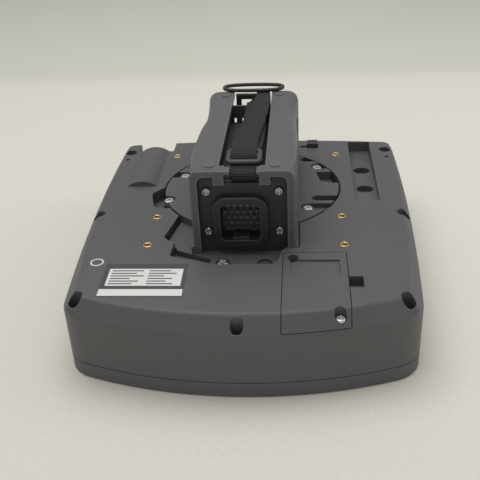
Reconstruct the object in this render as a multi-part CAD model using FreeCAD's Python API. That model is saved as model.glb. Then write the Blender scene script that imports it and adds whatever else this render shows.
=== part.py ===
# Handheld operator terminal lying on its front, rear side up. Millimetres.
# +Z comes out of the rear face, +Y points to the top end of the terminal,
# and the origin is on the resting plane under the middle of the case.

import FreeCAD
import Part
import math
import os

Vector = FreeCAD.Vector

# Case outline and heights
case_width = 201.0
case_length = 230.0
rear_face_z = 49.0
parting_z = 10.0
wall = 2.8
near_arc_radius = 250.0
far_arc_radius = 800.0
side_arc_radius = 1750.0
side_bulge_y = 30.0
near_corner_radius = 19.0
far_corner_radius = 8.0
near_band_depth = 7.3
near_band_height = 9.5
side_crease_inset = 3.8
side_crease_radius = 1250.0
side_crease_y = 60.0
side_bevel_slope = 1.2
crease_radius = 3.2
seam_height = 0.5
seam_depth = 0.45

# Clearances
slide_gap = 0.3
fit_gap = 0.15
pin_gap = 0.05

# Case screws and threaded inserts
case_screw_seat = 4.0
case_screw_length = 10.0
access_radius = 4.1
screw_head_radius = 2.9
screw_head_height = 2.2
screw_shank_radius = 1.5
near_screw_inset_x = 13.1
near_screw_inset_y = 23.5
far_screw_inset_x = 7.8
far_screw_inset_y = 21.4
mid_screw_inset_x = 5.2
mid_screw_y = -1.0
apex_screw_inset_y = 3.6
apex_access_radius = 2.7
apex_access_stretch = 1.6
insert_spacing_x = 114.6
insert_far_y = 86.9
insert_mid_y = -5.2
insert_near_y = -39.3
insert_radius = 3.0
insert_bore_radius = 1.65
insert_length = 8.0

# Features of the rear face at the far corners
stop_x_inset = 26.0
stop_y_inset = 39.0
arch_radius = 16.0
arch_rise = 3.5
arch_length = 58.0
notch_width = 26.5
notch_depth = 19.5
notch_height = 25.0
channel_x_inset = 25.8
channel_width = 15.4
channel_length = 93.5
channel_far_inset = 7.5
channel_depth_far = 7.5
channel_depth_near = 2.7
channel_hole_radius = 5.6
channel_hole_depth = 4.4
channel_hole_inset = 37.6
channel_hole_pitch = 31.8
pin_hole_radius = 1.5
pin_hole_depth = 4.0
pin_hole_inset_x = 7.6
pin_hole_inset_y = 33.9
hook_x = 41.0
hook_width = 7.6
hook_length = 7.5
hook_far_inset = 9.5
hook_rise = 3.4
hook_corner = 0.8
hook_pocket_depth = 6.0
hook_slot_width = 5.0
hook_slot_length = 3.0
hook_slot_depth = 3.5

# Card cover on the near band
cover_left_x = 22.5
cover_width = 35.1
cover_grip_gap = 6.2
cover_line = 0.45
cover_thickness = 2.2
cover_low_edge = 8.4
cover_ledge = 3.5
cover_frame_depth = 14.0
cover_screw_inset = 5.4
cover_screw_depth = 7.0
cover_near_screw_inset = 11.0
cover_cup_wall = 1.4
cover_cup_radius = 3.2
cover_panel_width = 27.6
cover_panel_length = 14.6
cover_panel_inset = 7.6
cover_panel_depth = 1.1
pry_width = 8.0
pry_length = 10.3
pry_depth = 6.0
pry_inset = 24.4

# Grip base plate
disc_y = 34.8
disc_radius = 57.2
disc_gap = 1.3
recess_gap = 0.7
recess_depth = 8.0
plate_rise = 0.3
plate_hollow_radius = 40.0
plate_skin = 3.2
rim_pocket_radius = 4.2
rim_screw_radii = (53.4, 50.1, 46.5, 51.0, 55.6)
rim_screw_turns = (35.6, 11.2, -38.0, 157.5, 197.5)
rim_screw_depths = (3.2, 6.0, 3.2, 3.2, 3.2)
rim_ear_radius = 4.0
spare_slot_radii = (46.0, 55.0)
spare_slot_turns = (-22.0, 50.0)
spare_slot_depth = 4.3
wide_pocket = ((42.7, 21.7), (44.8, 10.5), (48.3, 4.6), (60.0, 4.6), (60.0, 21.7))
tab_step = 5.0
tab_pocket_depth = 2.0
base_screw_head_radius = 3.4
base_screw_head_height = 2.6
base_screw_shank_radius = 2.0
base_screw_length = 7.0
tab_screw_x = 12.0
tab_screw_inset = 8.4
side_pocket = (
    (-46, -4), (-58, 0.6), (-65.1, -7.4), (-64.9, -12.8), (-61.5, -26.1), (-59.3, -28.2), (-42, -30),
)
foot_length = 45.0
tab_outline = (
    (-19.4, 2), (-19.4, -16.2), (-14, -17.6), (16, -17.6), (19, -13.9), (21, -3), (23.4, -0.4), (23.4, 2),
)
cable_pocket = (
    (-43.6, 38.7), (-48.9, 12), (-45.4, 7.6), (-41.6, 5.6), (-42.4, -8.5), (-41, -10), (-19, -17), (-19, 45),
)
cable_step = (
    (-30, 42), (-42.4, 39.5), (-47.6, 12.2), (-44.6, 8.4), (-40.7, 6.2), (-40.7, 4.3), (-19.2, -5.4),
    (-19.2, 2),
)

# Grip
grip_near_y = -42.6
grip_top_z = 97.0
grip_half_width = 31.0
grip_wall = 3.0
grip_rows_y = (0.0, 8.0, 37.0, 64.0, 82.0, 100.0, 129.1)
grip_side_insets = (1.8, 1.1, 0.0, 0.2, 0.8, 1.2, 0.0)
grip_shoulder_drops = (6.5, 8.5, 9.0, 10.0, 12.0, 13.0, 9.5)
grip_flat_insets = (5.8, 2.8, 1.4, 2.9, 5.8, 8.4, 8.5)
grip_shoulder_fullness = (1.0, 0.35, 0.3, 0.3, 0.5, 0.8, 1.0)
strap_gap_width = 25.8
tunnel_width = 33.0
tunnel_floor_z = 66.0
tunnel_wall = 1.8
rail_screw_x = 19.2
rail_screw_inset = 10.8
rail_screw_head_radius = 2.5
rail_screw_shank_radius = 1.5
rail_screw_length = 11.0
rail_mark_x = 18.3
rail_mark_near_inset = 8.0
rail_mark_far_inset = 7.4
rail_mark_radius = 2.9
rail_mark_rise = 0.6
rail_column_radius = 4.4

# Strap tray, anchor, strap, slider, loop and ring
tray_depth = 13.8
tray_skin = 1.6
tray_start = 13.0
tray_length = 98.0
tray_slits = 6
tray_slit_width = 1.5
tray_slit_pitch = 4.6
tray_slit_height = 3.6
anchor_inset = 4.1
anchor_drop = 4.4
anchor_radius = 2.0
lug_width = 6.0
lug_height = 8.4
lug_length = 8.2
ear_length = 6.6
ear_thickness = 1.9
strap_x = 0.8
strap_width = 14.5
strap_thickness = 1.5
strap_lean = 2.6
slider_width = 20.2
slider_length = 15.4
slider_thickness = 2.6
slider_bar = 3.0
slider_corner = 3.0
slider_round = 0.7
slider_inset = 16.6
strap_crest_inset = 26.6
strap_crest_rise = 0.4
loop_width = 23.6
loop_leg = 3.5
loop_thickness = 3.0
loop_top_bar = 3.2
loop_foot = 4.0
ring_wire_radius = 1.25
ring_straight = 28.4
ring_bend_radius = 6.1
ring_inset = 2.0
ring_sleeve = 1.1

# Cable socket in the near end
panel_half_width = 25.0
panel_top_drop = 3.5
panel_corner = 4.0
panel_recess = 3.6
panel_thickness = 2.5
panel_screw_x = 20.4
panel_screw_high = 34.2
panel_screw_low = 9.1
panel_block_length = 10.0
panel_screw_length = 4.5
panel_screw_head_radius = 2.5
panel_block_half = 3.5
socket_x = -1.6
socket_rise = 16.2
socket_size = 31.5
socket_corner = 8.0
socket_bore = 22.6
socket_bore_corner = 3.0
socket_proud = 1.4
socket_depth = 24.0
socket_face_depth = 11.0
socket_key_width = 9.0
socket_key_height = 1.6
pin_radius = 0.45
pin_length = 4.0
pin_pitch = 3.6
pin_rows = (5, 6, 5, 6, 5)

# Enabling switch in the side of the grip
lever_length = 67.0
lever_height = 17.0
lever_thickness = 2.9
lever_inset = 0.3
lever_low_z = 64.5
lever_far_inset = 11.0
lever_gap = 0.6
lever_pin_radius = 1.5
lever_boss_radius = 3.2
lever_pin_inset = 3.5
lever_pin_block = 4.0
plunger_arm = 20.0
plunger_radius = 2.5
switch_length = 16.0
switch_height = 14.0
switch_depth = 5.0

# Front side
rim_width = 7.0
rim_depth = 1.0
rim_round = 1.2
front_plate = 2.6
window_width = 138.0
window_near_inset = 62.0
window_far_inset = 64.0
window_corner = 3.0
glass_margin = 4.0
glass_thickness = 1.8
display_margin = 3.5
display_thickness = 8.0
bracket_thickness = 1.2
bracket_ear = 8.0
bracket_post_x = 50.0
bracket_post_radius = 3.6
board_width = 136.0
board_near_inset = 18.0
board_far_inset = 66.0
board_screw_head_radius = 2.2
board_screw_head_height = 1.4
board_screw_shank_radius = 1.0
board_thickness = 1.6
spacer_radius = 3.0
spacer_height = 5.5
spacer_inset = 7.0
key_count = 6
key_width = 15.0
key_length = 9.0
key_pitch = 19.0
key_window_gap = 27.0
key_corner = 1.5
key_recess = 0.4
key_travel = 1.2
key_flange = 1.2
key_flange_thickness = 1.0
key_board_margin = 6.0
key_board_thickness = 1.6
key_board_gap = 0.4
key_board_post_radius = 2.6
lamp_radius = 1.6
lamp_flange_radius = 3.0
lamp_offset = 14.0
well_radius = 15.5
well_wall = 2.0
well_depth = 14.0
stop_button_radius = 13.2
stop_button_height = 7.5
stop_button_recess = 1.5
stop_button_dome = 3.0
stop_stem_radius = 4.0
stop_stem_length = 25.0
stop_stem_seat = 4.0
stop_travel = 4.5
stop_barrel_radius = 8.0
stop_block_size = 22.0
stop_block_height = 24.0
key_switch_x_inset = 26.0
key_switch_inset_y = 35.0
key_switch_radius = 8.0
key_switch_flange = 10.5
key_switch_flange_thickness = 0.7
key_switch_length = 24.0
key_nut_thickness = 4.0
key_nut_radius = 11.5
key_rotor_radius = 5.0
key_rotor_length = 18.0
key_slot_width = 1.8
key_slot_length = 7.0
key_slot_depth = 5.0
card_socket_width = 24.0
card_socket_height = 14.0
card_slot_height = 5.0
battery_radius = 7.0
battery_length = 26.0
battery_x = -38.0
battery_inset_y = 44.0
battery_holder_height = 6.0
battery_holder_wall = 2.0

# Places worked out from the values above
case_near_y = -case_length / 2
case_far_y = case_length / 2
stop_x = stop_x_inset - case_width / 2
stop_y = case_far_y - stop_y_inset
key_switch_x = case_width / 2 - key_switch_x_inset
channel_x = case_width / 2 - channel_x_inset
recess_floor_z = rear_face_z - recess_depth
plate_top_z = rear_face_z + plate_rise
tab_top_z = plate_top_z - tab_step
grip_far_y = grip_near_y + grip_rows_y[-1]
plate_inner_z = rim_depth + front_plate
card_left_x = cover_left_x
card_right_x = cover_left_x + cover_width
card_far_y = grip_near_y - cover_grip_gap
lid_reach = 60.0
window_near_y = case_near_y + window_near_inset
window_far_y = case_far_y - window_far_inset
window_height = window_far_y - window_near_y
window_y = (window_near_y + window_far_y) / 2
key_y = window_near_y - key_window_gap
board_near_y = case_near_y + board_near_inset
board_far_y = case_far_y - board_far_inset


def box(x0, x1, y0, y1, z0, z1):
    return Part.makeBox(x1 - x0, y1 - y0, z1 - z0, Vector(x0, y0, z0))


def post(x, y, z0, z1, radius):
    return Part.makeCylinder(radius, z1 - z0, Vector(x, y, z0))


def bar_x(y, z, x0, x1, radius):
    return Part.makeCylinder(radius, x1 - x0, Vector(x0, y, z), Vector(1, 0, 0))


def bar_y(x, z, y0, y1, radius):
    return Part.makeCylinder(radius, y1 - y0, Vector(x, y0, z), Vector(0, 1, 0))


def flat_face(points, z):
    corners = [Vector(x, y, z) for x, y in points]
    return Part.Face(Part.makePolygon(corners + corners[:1]))


def prism(points, z0, z1, grow=0.0):
    face = flat_face(points, z0)
    if grow:
        face = face.makeOffset2D(grow, 2)
    return face.extrude(Vector(0, 0, z1 - z0))


def obround(x0, y0, x1, y1, radius, z0, z1):
    run = Vector(x1 - x0, y1 - y0, 0)
    side = Vector(-run.y, run.x, 0) * (radius / run.Length)
    ends = (Vector(x0, y0, 0), Vector(x1, y1, 0))
    corners = [ends[0] + side, ends[0] - side, ends[1] - side, ends[1] + side]
    middle = prism([(p.x, p.y) for p in corners], z0, z1)
    return join([middle] + [post(p.x, p.y, z0, z1, radius) for p in ends])


def round_corners(solid, radius, axis):
    # Rounds the edges that run along the given axis
    edges = []
    for edge in solid.Edges:
        start, end = edge.Vertexes[0].Point, edge.Vertexes[-1].Point
        run = end.sub(start)
        if run.Length > 1e-6 and abs(run.dot(axis)) > 0.999 * run.Length:
            edges.append(edge)
    return solid.makeFillet(radius, edges)


def plate(x, y, width, length, z0, z1, corner):
    solid = box(x - width / 2, x + width / 2, y - length / 2, y + length / 2, z0, z1)
    return round_corners(solid, corner, Vector(0, 0, 1))


def upright(x, z, width, height, y0, y1, corner):
    # Plate that stands across the length, with its outline in X and Z
    solid = box(x - width / 2, x + width / 2, y0, y1, z - height / 2, z + height / 2)
    return round_corners(solid, corner, Vector(0, 1, 0))


def join(solids):
    return solids[0].multiFuse(solids[1:]).removeSplitter()


def mirrored(solid):
    return solid.mirror(Vector(0, 0, 0), Vector(1, 0, 0))


def screw(x, y, seat_z, head_radius, head_height, shank_radius, length):
    # Pan head above its seat and shank below it
    head = post(x, y, seat_z, seat_z + head_height, head_radius)
    crown = [edge for edge in head.Edges if edge.BoundBox.ZMin > seat_z + head_height / 2]
    head = head.makeFillet(head_height * 0.45, crown)
    return join([head, post(x, y, seat_z - length, seat_z, shank_radius)])


def save(name, solids):
    shape = solids if isinstance(solids, Part.Shape) else Part.makeCompound(solids)
    shape.exportStep("parts/" + name + ".step")


def crossing(center_a, radius_a, center_b, radius_b, towards):
    # Crossing of two circles that lies nearer to a given point
    run = center_b.sub(center_a)
    along = (radius_a ** 2 - radius_b ** 2 + run.Length ** 2) / (2 * run.Length)
    across = math.sqrt(radius_a ** 2 - along ** 2)
    foot = center_a + run * (along / run.Length)
    side = Vector(-run.y, run.x, 0) * (across / run.Length)
    return min((foot + side, foot - side), key=lambda point: point.distanceToPoint(towards))


def case_prism(inset, z0, z1):
    # Case outline of four arcs with rounded corners, moved in by inset
    near_center = Vector(0, case_near_y + near_arc_radius, 0)
    far_center = Vector(0, case_far_y - far_arc_radius, 0)
    right_center = Vector(case_width / 2 - side_arc_radius, side_bulge_y, 0)
    side_radius = side_arc_radius - inset
    near_end = crossing(near_center, near_arc_radius - inset, right_center, side_radius,
                        Vector(case_width / 2, case_near_y, 0))
    far_end = crossing(far_center, far_arc_radius - inset, right_center, side_radius,
                       Vector(case_width / 2, case_far_y, 0))
    right_middle = Vector(case_width / 2 - inset, side_bulge_y, 0)
    flip = lambda point: Vector(-point.x, point.y, 0)
    arcs = [
        Part.Arc(flip(near_end), Vector(0, case_near_y + inset, 0), near_end),
        Part.Arc(near_end, right_middle, far_end),
        Part.Arc(far_end, Vector(0, case_far_y - inset, 0), flip(far_end)),
        Part.Arc(flip(far_end), flip(right_middle), flip(near_end)),
    ]
    face = Part.Face(Part.Wire([arc.toShape() for arc in arcs]))
    face.translate(Vector(0, 0, z0))
    solid = face.extrude(Vector(0, 0, z1 - z0))
    for sign, radius in ((-1, near_corner_radius), (1, far_corner_radius)):
        edges = []
        for edge in solid.Edges:
            low, high = edge.BoundBox.ZMin, edge.BoundBox.ZMax
            upright_edge = high - low > 0.9 * (z1 - z0) and edge.BoundBox.XLength < 1e-3
            if upright_edge and edge.BoundBox.YMin * sign > side_bulge_y * sign:
                edges.append(edge)
        solid = solid.makeFillet(radius - inset, edges)
    return solid


def cone_cutter(axis_x, axis_y, radius, top_z, slope):
    # Takes off what lies above a cone that falls outwards from a circle at top_z
    reach = 2 * near_band_height
    high = top_z + 2 * slope
    rows = ((radius - 2, high), (radius + reach, high), (radius + reach, top_z - reach * slope))
    corners = [Vector(axis_x - r, axis_y, z) for r, z in rows]
    face = Part.Face(Part.makePolygon(corners + corners[:1]))
    return face.revolve(Vector(axis_x, axis_y, 0), Vector(0, 0, 1), 360)


def bevel_cutters(drop):
    # Sloped near band and the two side bevels, lowered by a thickness measured across the slope
    band_slope = near_band_height / near_band_depth
    band_top = rear_face_z - drop * math.hypot(1, band_slope)
    side_top = rear_face_z - drop * math.hypot(1, side_bevel_slope)
    side_axis_x = case_width / 2 - side_crease_inset - side_crease_radius
    band_y = case_near_y + near_arc_radius
    band = cone_cutter(0, band_y, near_arc_radius - near_band_depth, band_top, band_slope)
    side = cone_cutter(side_axis_x, side_crease_y, side_crease_radius, side_top, side_bevel_slope)
    return [band, side, mirrored(side)]


def rear_form(drop):
    return case_prism(drop, parting_z, rear_face_z - drop).cut(bevel_cutters(drop))


def outer_form():
    # Rear half of the case with its creases and upper edges rounded
    form = rear_form(0)
    middle_z = (parting_z + rear_face_z) / 2
    edges = [edge for edge in form.Edges if edge.BoundBox.ZMin > middle_z and edge.Length > crease_radius]
    return form.makeFillet(crease_radius, edges)


def case_screw_places():
    near_x = case_width / 2 - near_screw_inset_x
    far_x = case_width / 2 - far_screw_inset_x
    mid_x = case_width / 2 - mid_screw_inset_x
    near_y = case_near_y + near_screw_inset_y
    far_y = case_far_y - far_screw_inset_y
    pairs = ((near_x, near_y), (far_x, far_y), (mid_x, mid_screw_y))
    return [(side * x, y) for x, y in pairs for side in (-1, 1)]


def apex_screw_place():
    return (0, case_near_y + apex_screw_inset_y)


def insert_places():
    rows = (insert_near_y, insert_mid_y, insert_far_y)
    return [(side * insert_spacing_x / 2, y) for y in rows for side in (-1, 1)]


def disc_places(radii, turns):
    return [(radius * math.cos(math.radians(turn)), disc_y + radius * math.sin(math.radians(turn)))
            for radius, turn in zip(radii, turns)]


def base_screw_seats():
    # Place and seat height of each screw that holds the base plate: five at the rim, one in the tab
    places = disc_places(rim_screw_radii, rim_screw_turns)
    seats = [(x, y, plate_top_z - depth) for (x, y), depth in zip(places, rim_screw_depths)]
    return seats + [(-tab_screw_x, tab_screw_y(), tab_top_z - tab_pocket_depth)]


def tab_screw_y():
    return grip_near_y + min(y for x, y in tab_outline) + tab_screw_inset


def from_disc(points):
    return [(x, y + disc_y) for x, y in points]


def from_grip(points):
    return [(x, y + grip_near_y) for x, y in points]


def foot(z0, z1, grow=0.0):
    # Part of the base plate under the near end of the grip
    half = grip_half_width + grow
    return box(-half, half, grip_near_y - grow, grip_near_y + foot_length, z0, z1)


def recess(grow, z0, z1):
    # Hollow of the rear face that takes the base plate, its cable pocket and its side pocket
    return join([
        post(0, disc_y, z0, z1, disc_radius + disc_gap + grow),
        foot(z0, z1, recess_gap + grow),
        prism(from_grip(tab_outline), z0, z1, recess_gap + grow),
        prism(from_grip(cable_pocket), z0, z1, grow),
        prism(from_disc(side_pocket), z0, z1, grow),
    ])


def channel(grow, extra):
    # Sloping channel at the far end of the rear face
    far_y = case_far_y - channel_far_inset
    near_y = far_y - channel_length
    top = rear_face_z + 1 - grow
    near_floor = rear_face_z - channel_depth_near - extra
    far_floor = rear_face_z - channel_depth_far - extra
    near_y = near_y - grow
    far_y = far_y + grow
    profile = ((far_y, top), (near_y, top), (near_y, near_floor), (far_y, far_floor))
    corners = [Vector(channel_x - channel_width / 2 - grow, y, z) for y, z in profile]
    face = Part.Face(Part.makePolygon(corners + corners[:1]))
    return face.extrude(Vector(channel_width + 2 * grow, 0, 0))


def channel_holes():
    far_y = case_far_y - channel_hole_inset - channel_far_inset
    fall = (channel_depth_far - channel_depth_near) / channel_length
    holes = []
    for y in (far_y, far_y - channel_hole_pitch):
        floor = rear_face_z - channel_depth_far + fall * (case_far_y - channel_far_inset - y)
        holes.append(post(channel_x, y, floor - channel_hole_depth, rear_face_z, channel_hole_radius))
        holes.append(post(channel_x, y, floor - channel_hole_depth - wall / 2, rear_face_z, pin_hole_radius))
    return holes


def notch(grow):
    return box(stop_x - notch_width / 2 - grow, stop_x + notch_width / 2 + grow,
               case_far_y - notch_depth - grow, case_far_y + wall,
               rear_face_z - notch_height - grow, rear_face_z + arch_rise + wall)


def arch():
    # Raised half-round housing behind the stop switch
    center_z = rear_face_z + arch_rise - arch_radius
    start = case_far_y - notch_depth - arch_length
    body = bar_y(stop_x, center_z, start, start + arch_length, arch_radius)
    return body.common(box(stop_x - arch_radius, stop_x + arch_radius, start, start + arch_length,
                           rear_face_z - wall, rear_face_z + 2 * arch_rise))


def hook_foot(grow, z0, z1):
    # Footprint of the right-hand lug near the far edge
    far = case_far_y - hook_far_inset
    half = hook_width / 2 + grow
    return box(hook_x - half, hook_x + half, far - hook_length - grow, far + grow, z0, z1)


def hook_pocket(grow):
    # Socket of the lug, with a narrow slot on the side of the grip
    low = rear_face_z - hook_pocket_depth - grow
    top = rear_face_z + 1 - grow
    slot_far = case_far_y - hook_far_inset - hook_length / 2
    slot = box(hook_x - hook_width / 2 - hook_slot_width - grow, hook_x, slot_far - hook_slot_length - grow,
               slot_far + grow, rear_face_z - hook_slot_depth - grow, top)
    return hook_foot(fit_gap + grow, low, top).fuse(slot)


def bracket_hooks():
    top = rear_face_z + hook_rise
    hook = round_top(hook_foot(0, rear_face_z - hook_pocket_depth, top), top, hook_corner)
    return [hook, mirrored(hook)]


def round_top(solid, z, radius):
    edges = [edge for edge in solid.Edges if edge.BoundBox.ZMin > z - 1e-3]
    return solid.makeFillet(radius, edges)


def cover_box(grow):
    return box(card_left_x - grow, card_right_x + grow, case_near_y - lid_reach, card_far_y + grow,
               rear_face_z - cover_low_edge - grow, rear_face_z + 1)


def cover_layer(grow):
    # Skin of the rear form inside the card cover's outline
    form = outer_form()
    under = form.copy()
    lean = cover_thickness * near_band_depth / (2 * near_band_height)
    under.translate(Vector(0, lean, -cover_thickness))
    return form.common(cover_box(grow)).cut(under)


def cover_screw_places():
    far = (card_left_x + cover_screw_inset, card_far_y - cover_screw_inset)
    near = (card_right_x - cover_screw_inset, case_near_y + cover_near_screw_inset)
    return (far, near)


def cover_seat_z():
    return rear_face_z - cover_screw_depth - cover_cup_wall


def cover_opening():
    return box(card_left_x + cover_ledge, card_right_x - cover_ledge,
               case_near_y + cover_near_screw_inset + cover_screw_inset, card_far_y - 2 * cover_screw_inset,
               rear_face_z - cover_frame_depth - wall, rear_face_z)


def pry_pocket(grow):
    far_y = card_far_y - pry_inset
    near_y = far_y - pry_length
    return box(card_right_x - wall / 2 - grow, card_right_x + pry_width + grow, near_y - grow, far_y + grow,
               rear_face_z - pry_depth - grow, rear_face_z + 1 - grow)


def pin_holes(grow, depth):
    x = case_width / 2 - pin_hole_inset_x
    y = case_far_y - pin_hole_inset_y
    top = rear_face_z + 1 - grow
    return [post(side * x, y, rear_face_z - depth, top, pin_hole_radius + grow) for side in (-1, 1)]


def rear_bosses():
    # Everything that stays solid inside the hollow of the rear cover
    floor_z = recess_floor_z - wall
    apex_x, apex_y = apex_screw_place()
    stretch = apex_access_stretch / 2
    bosses = [post(x, y, parting_z, rear_face_z, access_radius + wall * 0.8) for x, y in case_screw_places()]
    bosses.append(obround(apex_x - stretch, apex_y, apex_x + stretch, apex_y, apex_access_radius + wall,
                          parting_z, rear_face_z))
    bosses += [post(x, y, rear_face_z - insert_length - wall, rear_face_z, insert_radius + wall * 0.8)
               for x, y in insert_places()]
    bosses += [post(x, y, floor_z - wall, rear_face_z, base_screw_shank_radius + wall)
               for x, y, seat in base_screw_seats()]
    bosses.append(recess(wall, floor_z, rear_face_z))
    bosses.append(channel(wall, wall + channel_hole_depth))
    bosses.append(notch(wall))
    bosses += [hook_pocket(wall), mirrored(hook_pocket(wall)), pry_pocket(wall)]
    bosses.append(box(card_left_x - wall, card_right_x + wall, case_near_y, card_far_y + wall,
                      rear_face_z - cover_frame_depth, rear_face_z))
    return bosses + pin_holes(wall, pin_hole_depth + wall)


def rear_openings():
    # Holes and pockets cut from outside
    seat_z = parting_z + case_screw_seat
    top = rear_face_z + 1
    apex_x, apex_y = apex_screw_place()
    stretch = apex_access_stretch / 2
    cuts = [post(x, y, seat_z, top, access_radius) for x, y in case_screw_places()]
    cuts += [post(x, y, parting_z, seat_z, screw_shank_radius + pin_gap)
             for x, y in case_screw_places() + [apex_screw_place()]]
    cuts.append(obround(apex_x - stretch, apex_y, apex_x + stretch, apex_y, apex_access_radius, seat_z, top))
    cuts += [post(x, y, rear_face_z - insert_length, top, insert_radius + pin_gap)
             for x, y in insert_places()]
    cuts += [post(x, y, seat - base_screw_length, rear_face_z, base_screw_shank_radius + pin_gap)
             for x, y, seat in base_screw_seats()]
    cuts.append(recess(0, recess_floor_z, top))
    cuts.append(channel(0, 0))
    cuts += channel_holes()
    cuts.append(notch(0))
    cuts += [hook_pocket(0), mirrored(hook_pocket(0)), pry_pocket(0)]
    cuts += [cover_layer(cover_line), cover_opening()]
    for x, y in cover_screw_places():
        seat = cover_seat_z()
        cuts.append(post(x, y, seat, rear_face_z, cover_cup_radius + cover_cup_wall + slide_gap))
        cuts.append(post(x, y, seat - case_screw_seat, seat, screw_shank_radius + pin_gap))
    return cuts + pin_holes(0, pin_hole_depth)


def rear_cover():
    hollow = rear_form(wall).cut(rear_bosses())
    return outer_form().cut(hollow).fuse(arch()).cut(rear_openings())


def card_cover():
    cover = cover_layer(0)
    for x, y in cover_screw_places():
        cup = post(x, y, cover_seat_z(), rear_face_z, cover_cup_radius + cover_cup_wall)
        cover = cover.fuse(cup.common(outer_form()))
    panel_far = card_far_y - cover_panel_inset
    margin = (cover_width - cover_panel_width) / 2
    cuts = [box(card_left_x + margin, card_right_x - margin, panel_far - cover_panel_length, panel_far,
                rear_face_z - cover_panel_depth, rear_face_z + 1)]
    for x, y in cover_screw_places():
        cuts.append(post(x, y, cover_seat_z() + cover_cup_wall, rear_face_z + 1, cover_cup_radius))
        cuts.append(post(x, y, cover_seat_z(), rear_face_z, screw_shank_radius + pin_gap))
    return cover.cut(cuts).removeSplitter()


def case_screws():
    seat_z = parting_z + case_screw_seat
    places = case_screw_places() + [apex_screw_place()]
    head_radius = min(screw_head_radius, apex_access_radius - fit_gap)
    return [screw(x, y, seat_z, head_radius, screw_head_height, screw_shank_radius, case_screw_length)
            for x, y in places]


def card_cover_screws():
    seat = cover_seat_z() + cover_cup_wall
    return [screw(x, y, seat, screw_head_radius, screw_head_height, screw_shank_radius, case_screw_seat)
            for x, y in cover_screw_places()]


def threaded_inserts():
    inserts = []
    for x, y in insert_places():
        body = post(x, y, rear_face_z - insert_length, rear_face_z, insert_radius)
        inserts.append(body.cut(post(x, y, rear_face_z - insert_length, rear_face_z, insert_bore_radius)))
    return inserts


def case_seal():
    inset = wall / 3
    depth = wall / 3
    ring = case_prism(inset, parting_z - depth, parting_z)
    return ring.cut(case_prism(2 * inset, parting_z - depth, parting_z))


def key_places():
    start = -(key_count - 1) * key_pitch / 2
    return [(start + step * key_pitch, key_y) for step in range(key_count)]


def lamp_place():
    last_x, y = key_places()[-1]
    return (last_x + lamp_offset, y)


def bracket_post_places():
    half_y = window_height / 2 + glass_margin + display_margin + bracket_ear / 2
    return [(sx * bracket_post_x, window_y + sy * half_y) for sx in (-1, 1) for sy in (-1, 1)]


def display_top_z():
    return plate_inner_z + glass_thickness + display_thickness


def key_board_z():
    return plate_inner_z + key_flange_thickness + key_travel + key_board_gap


def key_board_post_places():
    reach = (key_count - 1) * key_pitch / 2 + key_pitch / 2
    offset = key_length / 2 + key_flange + key_board_post_radius + slide_gap
    return [(sx * reach, key_y + sy * offset) for sx in (-1, 1) for sy in (-1, 1)]


def seam():
    # Narrow groove round the case where the two covers meet
    low = parting_z - seam_height
    return case_prism(0, low, parting_z).cut(case_prism(seam_depth, low, parting_z))


def front_openings():
    key_switch_y = case_far_y - key_switch_inset_y
    cuts = [case_prism(rim_width, 0, rim_depth), case_seal(), seam()]
    cuts.append(plate(0, window_y, window_width, window_height, 0, plate_inner_z, window_corner))
    cuts.append(post(stop_x, stop_y, 0, well_depth, well_radius))
    cuts.append(post(stop_x, stop_y, well_depth, well_depth + well_wall, stop_barrel_radius + pin_gap))
    cuts.append(post(key_switch_x, key_switch_y, 0, plate_inner_z, key_switch_radius + pin_gap))
    cuts += [plate(x, y, key_width + 2 * slide_gap, key_length + 2 * slide_gap, 0, plate_inner_z,
                   key_corner + slide_gap) for x, y in key_places()]
    cuts.append(post(lamp_place()[0], lamp_place()[1], 0, plate_inner_z, lamp_radius + pin_gap))
    low_z = parting_z + case_screw_seat - case_screw_length
    cuts += [post(x, y, low_z, parting_z, screw_shank_radius + pin_gap)
             for x, y in case_screw_places() + [apex_screw_place()]]
    top = display_top_z()
    cuts += [post(x, y, top - case_screw_seat, top, board_screw_shank_radius + pin_gap)
             for x, y in bracket_post_places()]
    return cuts


def front_cover():
    outer = case_prism(0, 0, parting_z)
    lower_edges = [edge for edge in outer.Edges if edge.BoundBox.ZMax < 1e-3]
    outer = outer.makeFillet(rim_round, lower_edges)
    hollow = case_prism(wall, plate_inner_z, parting_z)
    posts = [post(x, y, plate_inner_z, parting_z, screw_shank_radius + wall)
             for x, y in case_screw_places() + [apex_screw_place()]]
    added = [post(x, y, plate_inner_z, display_top_z(), bracket_post_radius)
             for x, y in bracket_post_places()]
    added += [post(x, y, plate_inner_z, key_board_z(), key_board_post_radius)
              for x, y in key_board_post_places()]
    added.append(post(stop_x, stop_y, rim_depth, well_depth + well_wall, well_radius + well_wall))
    return outer.cut(hollow.cut(posts)).fuse(added).cut(front_openings())


def touch_panel():
    return plate(0, window_y, window_width + 2 * glass_margin, window_height + 2 * glass_margin,
                 plate_inner_z, plate_inner_z + glass_thickness, 2.0)


def display_module():
    width = window_width + 2 * (glass_margin + display_margin)
    low = plate_inner_z + glass_thickness
    return plate(0, window_y, width, window_height + 2 * glass_margin, low, display_top_z(), 1.0)


def spacer_places():
    half = board_width / 2 - spacer_inset
    return [(side * half, y) for side in (-1, 1) for y in (window_near_y, board_far_y - spacer_inset)]


def display_bracket():
    low = display_top_z()
    high = low + bracket_thickness
    width = window_width + 2 * (glass_margin + display_margin - slide_gap)
    sheet = plate(0, window_y, width, window_height + 2 * (glass_margin - slide_gap), low, high, 1.0)
    half = bracket_ear / 2
    ears = [box(x - half, x + half, min(y, window_y), max(y, window_y), low, high)
            for x, y in bracket_post_places()]
    tips = [post(x, y, low, high, half) for x, y in bracket_post_places()]
    holes = [post(x, y, low, high, board_screw_shank_radius + pin_gap)
             for x, y in bracket_post_places() + spacer_places()]
    return join([sheet] + ears + tips).cut(holes)


def board_screw(x, y, seat, length):
    return screw(x, y, seat, board_screw_head_radius, board_screw_head_height,
                 board_screw_shank_radius, length)


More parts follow.
